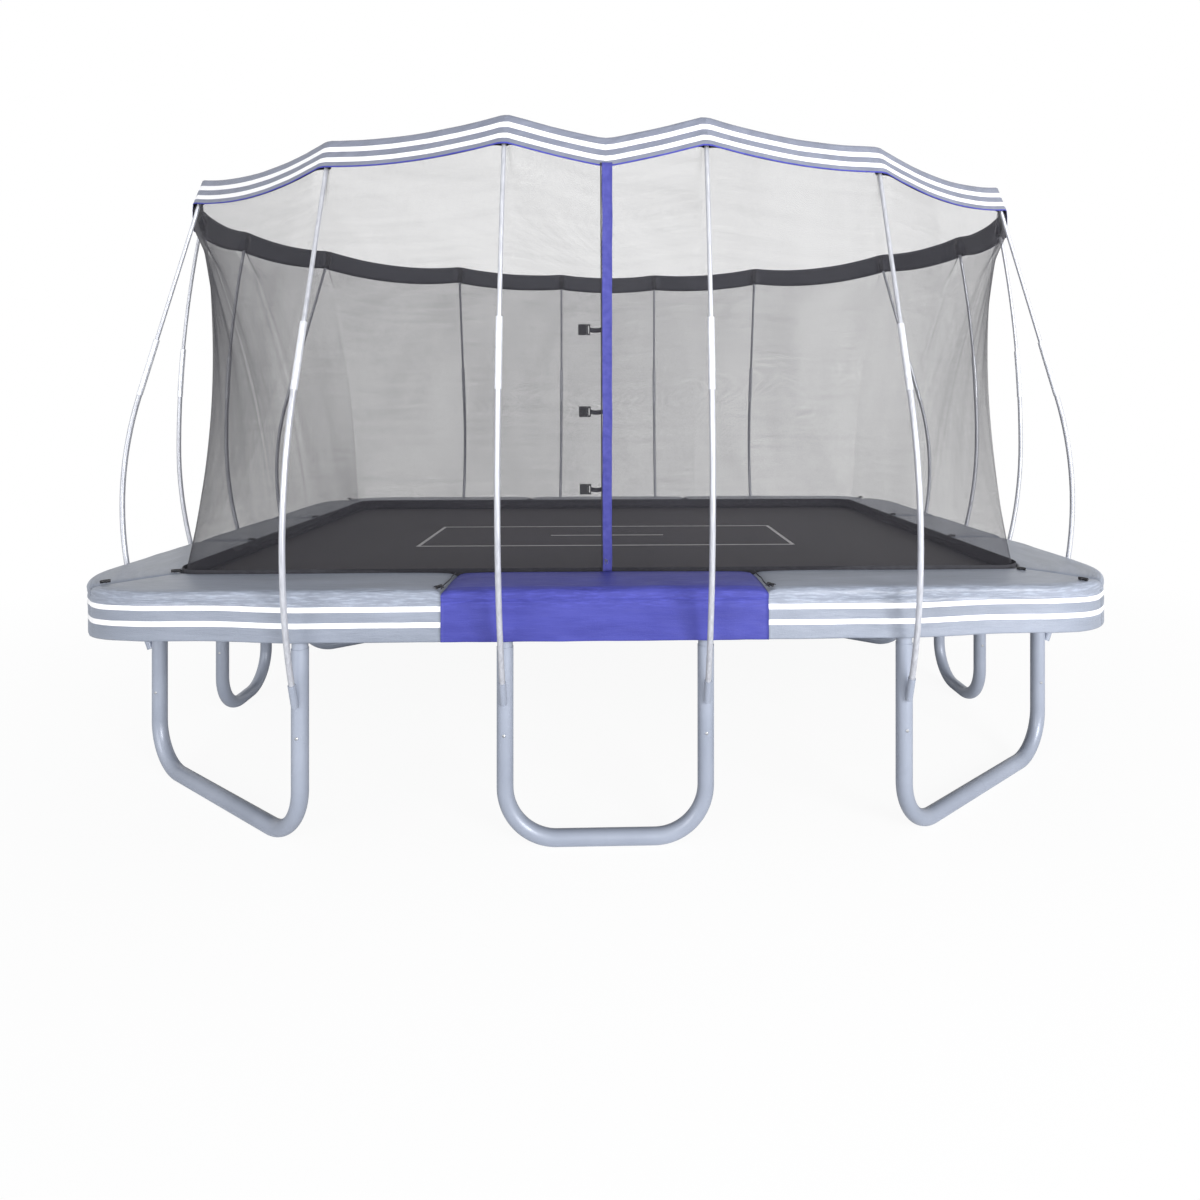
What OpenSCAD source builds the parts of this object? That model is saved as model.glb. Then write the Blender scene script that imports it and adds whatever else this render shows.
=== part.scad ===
// Rectangular garden trampoline with eight U-shaped legs, sixteen bowed
// enclosure poles, a sprung mat, a padded surround and a zipped safety net.
// Units are millimetres. The origin is on the ground under the mat's centre,
// X runs along the long side and -Y faces the door.

/* [Frame] */
// Outside length of the top rail along X
frame_length = 4264; // [3960:8:4400]
// Outside width of the top rail along Y
frame_width = 3048; // [2900:8:3300]
// Height of the top rail's centre line
rail_height = 945; // [920:5:970]
// Bend radius of the rail's corners
corner_radius = 400; // [360:10:480]
// Outside diameter of the rail and leg tube
tube_d = 64; // [56:2:66]
// Wall thickness of the rail and leg tube
tube_wall = 2; // [1.5:0.25:3]

/* [Legs] */
// Half spacing of the uprights of a front or back centre leg
leg_x_inner = 389; // [330:1:450]
// Distance from the middle to a corner leg's upright on the long rails
leg_x_outer = 1171; // [1100:1:1250]
// Half spacing of the uprights of a side centre leg
leg_y_inner = 256; // [245:1:300]
// Distance from the middle to a corner leg's upright on the short rails
leg_y_outer = 819; // [760:1:860]
// Bend radius of the leg tube's centre line
leg_bend_radius = 200; // [160:5:210]
// Height of the seam between a leg base and its uprights
leg_seam_height = 405; // [380:5:450]
// Height of an upright's open top
upright_top = 775; // [740:5:790]

/* [Enclosure poles] */
// Outside diameter of a pole's lower tube
pole_lower_d = 22; // [20:0.5:24]
// Outside diameter of a pole's upper tube
pole_upper_d = 17; // [16:0.5:20]
// Outside diameter of the joining sleeve
pole_sleeve_d = 26; // [25:0.5:30]
// Height of the socket mouth that holds a pole
socket_height = 660; // [640:5:680]
// Distance of the socket mouth outside the leg's centre line
socket_offset = 75; // [70:1:80]
// Height of the pole tips
tip_height = 2700; // [2600:10:2750]

/* [Mat and springs] */
// Gap from the rail's centre line to the mat's edge
spring_gap = 250; // [230:5:270]
// Thickness of the jumping mat
mat_thickness = 3; // [2:0.5:5]
// Springs along each long side
springs_long = 26; // [20:1:28]
// Springs along each short side
springs_short = 16; // [12:1:18]
// Springs round each corner
springs_corner = 5; // [4:1:6]

/* [Surround pad] */
// Reach of the pad inside the rail's centre line
pad_inside = 270; // [262:1:290]
// Reach of the pad outside the rail's centre line
pad_outside = 49; // [46:1:52]
// Thickness of the foam pad
pad_thickness = 22; // [15:1:30]
// Height of the skirt's lower edge
skirt_bottom = 806; // [800:2:860]
// Half width of the coloured centre section
pad_centre_half = 625; // [560:5:700]

/* [Net] */
// Height of the top band at a pole
band_height = 116; // [100:2:130]
// Top of the band at a pole
band_top = 2780; // [2760:5:2800]
// How far the band hangs between poles
band_sag = 45; // [20:5:70]
// Thickness of the net's fabric
net_thickness = 4; // [3:0.5:6]
// How far the net draws in at half its height
net_bow = 45; // [0:5:70]
// Width of the door's zip placket
placket_width = 40; // [30:1:50]

/* [Hidden] */
$fn = 48;
bend_fn = 360;
eps = 0.5;
clearance = 0.15;
hair = 0.1;
tube_r = tube_d / 2;
bore_r = tube_r - tube_wall;
half_x = frame_length / 2 - tube_r;
half_y = frame_width / 2 - tube_r;
straight_x = half_x - corner_radius;
straight_y = half_y - corner_radius;
mat_z = rail_height + 5;

// Leg sleeves
spigot_length = 45;
inner_sleeve_length = 80;
inner_sleeve_wall = 2;
seam_gap = 0.5;
foot_flat = 0.4;
bar_z = tube_r - foot_flat;

// T-sockets under the rail
saddle_length = 160;
saddle_wall = 3;
stub_bottom = upright_top - 115;

// Pole socket on an upright
socket_wall = 3;
socket_depth = 80;
socket_length = 100;

// Pole bows: angle at the socket, lower radius, upper radius.
// A centre pole keeps bending to its tip. A corner pole bends past the
// vertical by corner_bend, then runs straight.
centre_bow = [22, 2240, 6200];
corner_bow = [20, 1750, 1750];
corner_bend = 16.5;
// Lean of a pole towards the middle of its side
centre_lean = 0.4;
corner_lean = 1.1;
sleeve_length = 260;
sleeve_height = 1870;
pole_wall = 1.5;
cap_r = 12;

// Springs and rings
spring_r = 9;
spring_body = 140;
hook_r = 2;
ring_wire_r = 2.5;
ring_half = 14;
ring_reach = 26;

// Net and band: distances outside and inside the pole tips' centre lines, at
// the band's lower edge, and half the width of the net's flat part at the door
band_low = band_top - band_height;
band_slope = 14;
band_out = 24;
band_thickness = 2;
net_in = 5;
net_top = band_top - 6;
net_bottom = mat_z + 8;
net_clearance = 15;
door_flat = 130;

// Buckles beside the door
buckle_heights = [1362, 1682, 2003];
buckle_w = 32;
buckle_h = 42;
buckle_t = 12;
buckle_x = -92;
buckle_wall = 2.5;

// How far outside the leg's centre line a pole's tip stands
function tip_out(bow) =
    bow == centre_bow
    ? bow_peak(bow) - bow[2] * (1 - cos(asin((tip_height - bow_peak_z(bow)) / bow[2])))
    : bow_peak(bow) - bow[2] * (1 - cos(corner_bend))
      - (tip_height - bow_peak_z(bow) - bow[2] * sin(corner_bend)) * tan(corner_bend);
function bow_peak(bow) = socket_offset + bow[1] * (1 - cos(bow[0]));
function bow_peak_z(bow) = socket_height + bow[1] * sin(bow[0]);

// Where each upright stands: [x, y, outward angle, bow, lean sign]
function side_spots(inner, outer, reach, angle) = [
    for (s = [-outer, -inner, inner, outer])
        [s, reach, angle, abs(s) == outer ? corner_bow : centre_bow, sign(s)]
];
function turned(spot) = [spot[1], spot[0], spot[2], spot[3], spot[4]];
front_spots = side_spots(leg_x_inner, leg_x_outer, -half_y, -90);
back_spots = side_spots(leg_x_inner, leg_x_outer, half_y, 90);
left_spots = [for (s = side_spots(leg_y_inner, leg_y_outer, -half_x, 180)) turned(s)];
right_spots = [for (s = side_spots(leg_y_inner, leg_y_outer, half_x, 0)) turned(s)];
all_spots = concat(front_spots, back_spots, left_spots, right_spots);

steel = "lightsteelblue";
pole_steel = "gainsboro";
pad_grey = "slategray";
pad_blue = "mediumblue";
black = "dimgray";

// ---------------------------------------------------------------- helpers

module ring(outer, inner) {
    difference() {
        circle(outer);
        circle(inner);
    }
}

module pipe(length, outer, inner) {
    linear_extrude(length) ring(outer, inner);
}

// A tube bend that starts at the origin going up and turns towards -X
module bend(radius, angle, outer, inner) {
    translate([-radius, 0, 0]) rotate([90, 0, 0]) rotate_extrude(angle = angle, $fn = bend_fn)
        translate([radius, 0]) ring(outer, inner);
}

// Places children at the end of such a bend
module after_bend(radius, angle) {
    translate([-radius + radius * cos(angle), 0, radius * sin(angle)]) rotate([0, -angle, 0]) children();
}

// Places children at an upright, with +X pointing away from the trampoline
module at_spot(spot) {
    translate([spot[0], spot[1], 0]) rotate([0, 0, spot[2]]) children();
}

module rounded_rect(hx, hy, r) {
    square([2 * (hx - r), 2 * hy], center = true);
    square([2 * hx, 2 * (hy - r)], center = true);
    for (x = [-1, 1], y = [-1, 1]) translate([x * (hx - r), y * (hy - r)]) circle(r);
}

// A rounded rectangle at a distance outside the rail's centre line
module rail_outline(offset_out) {
    rounded_rect(half_x + offset_out, half_y + offset_out, corner_radius + offset_out);
}

// A sheet between two grids of points, outer and inner, with equal rows. Rim
// faces are cut from low outer to high inner points, so that neighbours meet
module sheet(outer, inner) {
    rows = len(outer);
    cols = len(outer[0]);
    count = rows * cols;
    points = concat([for (row = outer) each row], [for (row = inner) each row]);
    faces_out = [
        for (r = [0:rows - 2], c = [0:cols - 2])
            each [[r * cols + c, (r + 1) * cols + c, (r + 1) * cols + c + 1],
                  [r * cols + c, (r + 1) * cols + c + 1, r * cols + c + 1]]
    ];
    faces_in = [for (f = faces_out) [f[2] + count, f[1] + count, f[0] + count]];
    rim = concat(
        [for (c = [0:cols - 1]) c],
        [for (r = [1:rows - 1]) r * cols + cols - 1],
        [for (c = [cols - 2:-1:0]) (rows - 1) * cols + c],
        [for (r = [rows - 2:-1:1]) r * cols]
    );
    n = len(rim);
    faces_rim = [
        for (i = [0:n - 1])
            let (a = rim[i], b = rim[(i + 1) % n])
            each a < b
                ? [[a, b, b + count], [a, b + count, a + count]]
                : [[a, b, a + count], [b, b + count, a + count]]
    ];
    polyhedron(points, concat(faces_out, faces_in, faces_rim));
}

// ------------------------------------------------------------------ frame

module rail_straight(half_length, reach, angle) {
    color(steel) rotate([0, 0, angle]) translate([-half_length, -reach, rail_height])
        rotate([0, 90, 0]) pipe(2 * half_length, tube_r, bore_r);
}

// One rail corner, for the +X +Y quarter
module rail_corner() {
    color(steel) {
        translate([leg_x_outer, half_y, rail_height]) rotate([0, 90, 0])
            pipe(straight_x - leg_x_outer, tube_r, bore_r);
        translate([half_x, leg_y_outer, rail_height]) rotate([-90, 0, 0])
            pipe(straight_y - leg_y_outer, tube_r, bore_r);
        translate([straight_x, straight_y, rail_height]) rotate_extrude(angle = 90, $fn = 120)
            translate([corner_radius, 0]) ring(tube_r, bore_r);
    }
}

// A saddle round the rail with a stub that goes down into the leg
module leg_socket() {
    difference() {
        union() {
            translate([0, saddle_length / 2, rail_height]) rotate([90, 0, 0])
                cylinder(h = saddle_length, r = tube_r + saddle_wall);
            translate([0, 0, stub_bottom])
                cylinder(h = rail_height - stub_bottom, r = bore_r - clearance);
        }
        translate([0, saddle_length, rail_height]) rotate([90, 0, 0])
            cylinder(h = 2 * saddle_length, r = tube_r);
        translate([0, 0, stub_bottom - 1])
            cylinder(h = rail_height - stub_bottom, r = bore_r - tube_wall - clearance);
    }
}

module leg_sockets() {
    color(steel) for (spot = all_spots) at_spot(spot) leg_socket();
}

// Half of a leg's base: upright stump, bend and half of the ground bar
module base_half(half_span) {
    bar = half_span - leg_bend_radius;
    translate([half_span, 0, bar_z]) {
        translate([0, 0, leg_bend_radius])
            pipe(leg_seam_height - bar_z - leg_bend_radius, tube_r, bore_r);
        translate([0, 0, leg_bend_radius]) mirror([0, 0, 1])
            bend(leg_bend_radius, 90, tube_r, bore_r);
    }
    translate([seam_gap / 2, 0, bar_z]) rotate([0, 90, 0])
        pipe(bar - seam_gap / 2, tube_r, bore_r);
}

// The short tube inside the bar that joins the two halves
module bar_spigot() {
    translate([seam_gap / 2, 0, bar_z]) rotate([0, 90, 0])
        pipe(spigot_length, bore_r + eps, bore_r - inner_sleeve_wall);
    translate([-spigot_length, 0, bar_z]) rotate([0, 90, 0])
        pipe(spigot_length + eps, bore_r - clearance, bore_r - inner_sleeve_wall);
}

// The sleeve that stands in the base's top and enters the upright
module top_sleeve(half_span) {
    translate([half_span, 0, leg_seam_height - inner_sleeve_length])
        pipe(inner_sleeve_length, bore_r + eps, bore_r - inner_sleeve_wall);
    translate([half_span, 0, leg_seam_height - eps])
        pipe(inner_sleeve_length, bore_r - clearance, bore_r - inner_sleeve_wall);
}

// Both halves of a base, with a narrow flat where the bar meets the ground
module leg_base(span, centre, angle) {
    color(steel) difference() {
        translate([centre[0], centre[1], 0]) rotate([0, 0, angle]) {
            base_half(span / 2);
            bar_spigot();
            top_sleeve(span / 2);
            mirror([1, 0, 0]) {
                base_half(span / 2);
                top_sleeve(span / 2);
            }
        }
        translate([centre[0] - span, centre[1] - span, -10]) cube([2 * span, 2 * span, 10]);
        screw_holes();
    }
}

corner_dx = half_x - leg_x_outer;
corner_dy = half_y - leg_y_outer;
corner_span = sqrt(corner_dx * corner_dx + corner_dy * corner_dy);
corner_angle = atan(corner_dy / corner_dx);

module corner_base(sx, sy) {
    leg_base(corner_span, [sx * (half_x + leg_x_outer) / 2, sy * (half_y + leg_y_outer) / 2],
        -sx * sy * corner_angle);
}

// Places children at a pole's socket mouth, with +Z along the pole's foot
module pole_frame(spot) {
    at_spot(spot) translate([socket_offset, 0, socket_height])
        rotate([lean_sign(spot) * lean_of(spot[3]), 0, 0]) rotate([0, spot[3][0], 0]) children();
}

// The tube above the base, with the angled socket for a pole
module upright(spot) {
    difference() {
        union() {
            at_spot(spot) translate([0, 0, leg_seam_height])
                cylinder(h = upright_top - leg_seam_height, r = tube_r);
            pole_frame(spot) translate([0, 0, -socket_length])
                cylinder(h = socket_length, r = pole_lower_d / 2 + socket_wall);
        }
        at_spot(spot) translate([0, 0, leg_seam_height - 1])
            cylinder(h = upright_top - leg_seam_height + 2, r = bore_r);
        pole_frame(spot) translate([0, 0, -socket_depth])
            cylinder(h = 2 * socket_depth, r = pole_lower_d / 2 + clearance);
    }
}

module uprights(spots) {
    color(steel) difference() {
        for (spot = spots) upright(spot);
        screw_holes();
    }
}

module uprights_front() {
    uprights(front_spots);
}

module uprights_back() {
    uprights(back_spots);
}

module uprights_left() {
    uprights(left_spots);
}

module uprights_right() {
    uprights(right_spots);
}

// ------------------------------------------------------------------ poles

function lean_of(bow) = bow == corner_bow ? corner_lean : centre_lean;

// Sign of the turn that leans a pole towards the middle of its side
function lean_sign(spot) =
    spot[2] == -90 ? spot[4] : spot[2] == 90 ? -spot[4] : spot[2] == 0 ? spot[4] : -spot[4];

corner_top_z = bow_peak_z(corner_bow) + corner_bow[2] * sin(corner_bend);
// Angle along a centre pole's upper bow to a height
function turn_to(height) = asin((height - bow_peak_z(centre_bow)) / centre_bow[2]);
// Length along a corner pole's straight to a height
function run_to(height) = (height - corner_top_z) / cos(corner_bend);
function upper_start(bow) = bow == centre_bow ? bow_peak_z(bow) : corner_top_z;

// Places children where a pole's lower bow ends
module past_bow(bow) {
    after_bend(bow[1], bow[0] + (bow == corner_bow ? corner_bend : 0)) children();
}

// Places children on a pole's upper part, at a height
module upper_at(bow, height) {
    past_bow(bow) {
        if (bow == centre_bow) after_bend(bow[2], turn_to(height)) children();
        else translate([0, 0, run_to(height)]) children();
    }
}

// The stretch of a pole's upper part between two heights
module upper_stretch(bow, from, to, outer, inner) {
    upper_at(bow, from) {
        if (bow == centre_bow) bend(bow[2], turn_to(to) - turn_to(from), outer, inner);
        else pipe(run_to(to) - run_to(from), outer, inner);
    }
}

// The lower bow is a hair thicker, so that the straights end inside its wall
module lower_tube(bow) {
    outer = pole_lower_d / 2;
    inner = outer - pole_wall;
    translate([0, 0, -socket_depth]) pipe(socket_depth + eps, outer, inner);
    bend(bow[1], bow[0] + (bow == corner_bow ? corner_bend : 0), outer + hair, inner - hair);
    upper_stretch(bow, upper_start(bow) - eps, sleeve_height - 1, outer, inner);
}

module upper_tube(bow) {
    outer = pole_upper_d / 2;
    upper_stretch(bow, sleeve_height + 1, tip_height, outer, outer - pole_wall);
}

module pole(spot) {
    color(pole_steel) pole_frame(spot) {
        lower_tube(spot[3]);
        upper_tube(spot[3]);
    }
}

// The sleeve's lower half fits the lower tube, its upper half the upper tube
module sleeve(bow) {
    outer = pole_sleeve_d / 2;
    upper_stretch(bow, sleeve_height - sleeve_length * 0.42, sleeve_height, outer,
        pole_lower_d / 2 + clearance);
    upper_stretch(bow, sleeve_height - eps, sleeve_height + sleeve_length * 0.58, outer - hair,
        pole_upper_d / 2 + clearance);
}

module pole_sleeves() {
    color("whitesmoke") for (spot = all_spots) pole_frame(spot) sleeve(spot[3]);
}

// A plug-in cap with a domed rim on each pole's tip
module pole_cap() {
    translate([0, 0, -20]) cylinder(h = 20 + eps, r = pole_upper_d / 2 - pole_wall - clearance);
    cylinder(h = 6, r = cap_r);
    translate([0, 0, 6]) cylinder(h = 5, r1 = cap_r, r2 = cap_r / 2);
}

module pole_caps() {
    color(black) for (spot = all_spots) pole_frame(spot) upper_at(spot[3], tip_height) pole_cap();
}

// Places children at each screw, with +Z pointing out of the tube
screw_above = leg_seam_height + 36;
screw_below = leg_seam_height - 35;

module at_screws() {
    for (spot = concat(front_spots, back_spots)) at_spot(spot)
        translate([0, 0, screw_above]) rotate([0, 90, 0]) children();
    for (spot = concat(left_spots, right_spots)) translate([spot[0], spot[1], screw_below])
        rotate([spot[1] > 0 ? -90 : 90, 0, 0]) children();
}

screw_r = 2.5;
screw_inner = bore_r - inner_sleeve_wall - 3;

module screw_holes() {
    at_screws() translate([0, 0, screw_inner]) cylinder(h = tube_r, r = screw_r + clearance);
}

// A pan-head screw through the leg tube and the sleeve inside it
module leg_screws() {
    color("silver") at_screws() {
        translate([0, 0, screw_inner]) cylinder(h = tube_r - screw_inner + eps, r = screw_r);
        translate([0, 0, tube_r]) cylinder(h = 1.5, r = 6);
        translate([0, 0, tube_r + 1.5]) cylinder(h = 2, r1 = 6, r2 = 3);
    }
}

// ---------------------------------------------------------- mat and springs

// Places children at each spring, at the rail, with +X pointing inward
module at_springs() {
    for (s = [-1, 1], i = [0:springs_long - 1])
        translate([straight_x * (2 * (i + 0.5) / springs_long - 1), s * half_y, 0])
            rotate([0, 0, -s * 90]) children();
    for (s = [-1, 1], i = [0:springs_short - 1])
        translate([s * half_x, straight_y * (2 * (i + 0.5) / springs_short - 1), 0])
            rotate([0, 0, s > 0 ? 180 : 0]) children();
    for (q = [0:3], i = [0:springs_corner - 1]) {
        turn = 90 * (i + 0.5) / springs_corner;
        sx = q == 0 || q == 3 ? 1 : -1;
        sy = q < 2 ? 1 : -1;
        translate([sx * straight_x, sy * straight_y, 0]) rotate([0, 0, 90 * q + turn])
            translate([corner_radius, 0, 0]) rotate([0, 0, 180]) children();
    }
}

spring_start = tube_r + 18;
spring_end = spring_start + spring_body;

// A close-wound extension spring with a hook on the rail and one in the ring
module spring() {
    translate([spring_start, 0, mat_z]) rotate([0, 90, 0]) cylinder(h = spring_body, r = spring_r);
    translate([spring_start - 16, 0, mat_z]) rotate([0, 90, 0]) cylinder(h = 18, r = hook_r);
    translate([spring_end - 2, 0, mat_z]) rotate([0, 90, 0])
        cylinder(h = spring_gap - ring_reach - spring_end + 2 + hook_r, r = hook_r);
}

module springs() {
    color("silver") at_springs() spring();
}

// A flat triangular ring sewn to the mat's edge by a webbing loop
module mat_ring() {
    outer_x = spring_gap - ring_reach + 2 * hook_r + ring_wire_r;
    ring_end = spring_gap - hair;
    translate([0, 0, mat_z - ring_wire_r]) linear_extrude(2 * ring_wire_r) difference() {
        polygon([[outer_x, -3], [outer_x, 3], [ring_end, ring_half], [ring_end, -ring_half]]);
        polygon([[outer_x + 5, -1], [outer_x + 5, 1], [ring_end - 5, ring_half - 5],
                 [ring_end - 5, 5 - ring_half]]);
    }
}

module mat_rings() {
    color("silver") at_springs() mat_ring();
}

module mat() {
    color(black) translate([0, 0, mat_z - mat_thickness / 2])
        linear_extrude(mat_thickness) rail_outline(-spring_gap);
}

// ------------------------------------------------------------------- pads

pad_bottom = rail_height + tube_r + saddle_wall + 1;
pad_top = pad_bottom + pad_thickness;
skirt_thickness = 4;

module pad_ring() {
    translate([0, 0, pad_bottom]) linear_extrude(pad_thickness) difference() {
        rail_outline(pad_outside);
        rail_outline(-pad_inside);
    }
    translate([0, 0, skirt_bottom]) linear_extrude(pad_bottom - skirt_bottom + eps) difference() {
        rail_outline(pad_outside);
        rail_outline(pad_outside - skirt_thickness);
    }
}

// Keeps the part of the pad ring over a plan outline
module pad_section(outline) {
    intersection() {
        pad_ring();
        translate([0, 0, skirt_bottom - 10]) linear_extrude(pad_top) polygon(outline);
    }
}

// Mitres run out at 45 degrees from the centre of each rail corner
far = 900;
side_outline = [
    [straight_x, straight_y], [straight_x + far, straight_y + far],
    [straight_x + far, -straight_y - far], [straight_x, -straight_y]
];
back_outline = [
    [straight_x, straight_y], [straight_x + far, straight_y + far],
    [-straight_x - far, straight_y + far], [-straight_x, straight_y]
];
front_outline = [
    [pad_centre_half, -straight_y], [straight_x, -straight_y],
    [straight_x + far, -straight_y - far], [pad_centre_half, -straight_y - far]
];
front_centre_outline = [
    [-pad_centre_half, -straight_y], [pad_centre_half, -straight_y],
    [pad_centre_half, -straight_y - far], [-pad_centre_half, -straight_y - far]
];

// -------------------------------------------------------------------- net

function mix(a, b, t) = a + (b - a) * t;
function sag(t) = 4 * t * (1 - t);
function flip_x(p) = [-p[0], p[1]];
function flip_y(p) = [p[0], -p[1]];
// Draws a plan point in, or out if negative, towards the mat's centre
function drawn_in(p, d) = p * (1 - d / half_y);

tip_centre_out = tip_out(centre_bow);
tip_corner_out = tip_out(corner_bow);

// How far a pole's lean moves its tip
function lean_shift(bow) = (tip_height - socket_height) * tan(lean_of(bow));
centre_shift = lean_shift(centre_bow);
corner_shift = lean_shift(corner_bow);

// Plan points of the pole tips, and of the net's foot under them, along the
// front from the middle to the right, then up the right side to the middle
tip_long = [[leg_x_inner - centre_shift, -half_y - tip_centre_out],
            [leg_x_outer - corner_shift, -half_y - tip_corner_out]];
tip_short = [[half_x + tip_corner_out, corner_shift - leg_y_outer],
             [half_x + tip_centre_out, centre_shift - leg_y_inner]];
corner_top = (tip_long[1] + tip_short[0]) / 2;

foot_x = half_x - pad_inside - net_clearance;
foot_y = half_y - pad_inside - net_clearance;
foot_r = corner_radius - pad_inside - net_clearance;
corner_foot = [foot_x - foot_r * (1 - cos(45)), foot_r * (1 - cos(45)) - foot_y];
foot_long = [[leg_x_inner, -foot_y], [foot_x - foot_r, -foot_y]];
foot_short = [[foot_x, foot_r - foot_y], [foot_x, -leg_y_inner]];

long_top = [flip_x(corner_top), flip_x(tip_long[1]), flip_x(tip_long[0]),
            tip_long[0], tip_long[1], corner_top];
long_foot = [flip_x(corner_foot), flip_x(foot_long[1]), flip_x(foot_long[0]),
             foot_long[0], foot_long[1], corner_foot];
short_top = [corner_top, tip_short[0], tip_short[1],
             flip_y(tip_short[1]), flip_y(tip_short[0]), flip_y(corner_top)];
short_foot = [corner_foot, foot_short[0], foot_short[1],
              flip_y(foot_short[1]), flip_y(foot_short[0]), flip_y(corner_foot)];

net_steps = 4;
net_rows = 6;
spans = len(long_top) - 1;

// The top edge hangs between poles; beside a corner only half a span shows
function edge_drop(span, t) =
    band_sag * (span == 0 ? sag(0.5 + t / 2) : span == spans - 1 ? sag(t / 2) : sag(t));

function edge_point(list, column) =
    let (span = min(floor(column / net_steps), spans - 1), t = column / net_steps - span)
    mix(list[span], list[span + 1], t);

// How much of its bow the net takes at a plan point: none beside the door
function bow_share(p) = min(1, max(0, abs(p[0]) - door_flat) / (leg_x_inner - door_flat));

function column_drop(column) =
    let (span = min(floor(column / net_steps), spans - 1))
    edge_drop(span, column / net_steps - span);

columns = [0:spans * net_steps];

// A row of net points at height fraction v, from its foot to the band
function net_row(top, foot, v, d) = [
    for (c = columns)
        let (
            p = mix(edge_point(foot, c), edge_point(top, c), v),
            q = drawn_in(p, d + net_bow * sin(180 * v) * bow_share(p))
        )
        [q[0], q[1], mix(net_bottom, band_low - column_drop(c), v)]
];

// A row of points at a height beside the tips, sloped like the poles
function band_row(top, height, d) = [
    for (c = columns)
        let (q = drawn_in(edge_point(top, c), d + (height - band_low) * tan(band_slope)))
        [q[0], q[1], height - column_drop(c)]
];

// The net's rows up to the band's lower edge, and its sleeve up to the band's top
function net_grid(top, foot, d) = concat(
    [for (r = [0:net_rows]) net_row(top, foot, r / net_rows, d)],
    [band_row(top, net_top, d)]
);

module net_side(top, foot) {
    color(black) sheet(net_grid(top, foot, net_in), net_grid(top, foot, net_in + net_thickness));
}

module net_front() {
    net_side(long_top, long_foot);
}

module net_back() {
    rotate([0, 0, 180]) net_side(long_top, long_foot);
}

module net_right() {
    net_side(short_top, short_foot);
}

module net_left() {
    rotate([0, 0, 180]) net_side(short_top, short_foot);
}

function band_grid(top, d) = [for (height = [band_low, band_top]) band_row(top, height, d)];

// The band passes outside the pole tips
module band_side(top) {
    sheet(band_grid(top, -band_out - band_thickness), band_grid(top, -band_out));
}

module top_band() {
    color(pad_grey) for (turn = [0, 180]) rotate([0, 0, turn]) {
        band_side(long_top);
        band_side(short_top);
    }
}

// ------------------------------------------------------------------- door

door_foot_y = drawn_in([0, -foot_y], net_in)[1];
door_top_y = drawn_in([0, -half_y - tip_centre_out], net_in)[1];
door_rise = band_low - band_sag - net_bottom;
door_tilt = atan((door_foot_y - door_top_y) / door_rise);

// Places children on the net's outer face at the door, with -Y pointing out
module at_door(height) {
    translate([0, mix(door_foot_y, door_top_y, (height - net_bottom) / door_rise), height])
        rotate([door_tilt, 0, 0]) children();
}

placket_low = 1000;
placket_high = band_low - band_sag;
placket_thickness = 5;

module door_placket() {
    color(pad_blue) at_door(placket_low)
        translate([-placket_width / 2, -placket_thickness, 0])
            cube([placket_width, placket_thickness, (placket_high - placket_low) / cos(door_tilt)]);
}

slider_height = 1080;

// The zip's slider body with its hanging pull tab
module zip_slider() {
    color("silver") at_door(slider_height) translate([0, -placket_thickness - 0.4, 0])
        rotate([90, 0, 0]) {
            linear_extrude(5) polygon([[-8, -12], [8, -12], [10, 8], [4, 14], [-4, 14], [-10, 8]]);
            translate([0, 0, 5]) linear_extrude(3) difference() {
                translate([-6, -44]) square([12, 50]);
                translate([0, -34]) circle(3.5);
            }
        }
}

// A flat side-release buckle socket with a mouth towards the placket
module buckle_socket() {
    translate([-buckle_w / 2, -buckle_t, -buckle_h / 2]) difference() {
        cube([buckle_w, buckle_t, buckle_h]);
        translate([8, buckle_wall, 5]) cube([buckle_w, buckle_t - 2 * buckle_wall, buckle_h - 10]);
        for (z = [-1, buckle_h - 5]) translate([12, buckle_wall, z])
            cube([10, buckle_t - 2 * buckle_wall, 6]);
    }
}

module buckle_sockets() {
    color(black) for (h = buckle_heights) at_door(h) translate([buckle_x, 0, 0]) buckle_socket();
}

clip_collar = 14;
prong_length = 21;

// The pronged half: two sprung arms, a centre guide and a slotted collar
module buckle_clip(height) {
    arm_z = buckle_h / 2 - 9;
    color(black) at_door(height)
        translate([buckle_x + buckle_w / 2 + 1, -buckle_t / 2, 0]) {
            difference() {
                translate([0, -buckle_t / 2, -buckle_h / 2]) cube([clip_collar, buckle_t, buckle_h]);
                translate([5, -buckle_t, -buckle_h / 2 + 5]) cube([5, 2 * buckle_t, buckle_h - 10]);
            }
            for (z = [-arm_z, arm_z]) translate([-prong_length, -2.5, z - 2])
                cube([prong_length + eps, 5, 4]);
            for (s = [-1, 1]) translate([-prong_length, -2.5, s * (arm_z + 0.5) - 3])
                cube([8, 5, 6]);
            translate([-prong_length + 4, -2, -3]) cube([prong_length, 4, 6]);
        }
}

module buckle_clip_1() {
    buckle_clip(buckle_heights[0]);
}

module buckle_clip_2() {
    buckle_clip(buckle_heights[1]);
}

module buckle_clip_3() {
    buckle_clip(buckle_heights[2]);
}

// ------------------------------------------------------------ named nodes

module rail_front() {
    rail_straight(leg_x_outer, half_y, 0);
}

module rail_back() {
    rail_straight(leg_x_outer, half_y, 180);
}

module rail_left() {
    rail_straight(leg_y_outer, half_x, -90);
}

module rail_right() {
    rail_straight(leg_y_outer, half_x, 90);
}

module rail_corner_front_left() {
    rotate([0, 0, 180]) rail_corner();
}

module rail_corner_front_right() {
    mirror([0, 1, 0]) rail_corner();
}

module rail_corner_back_left() {
    mirror([1, 0, 0]) rail_corner();
}

module rail_corner_back_right() {
    rail_corner();
}

module leg_base_front() {
    leg_base(2 * leg_x_inner, [0, -half_y], 0);
}

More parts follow.
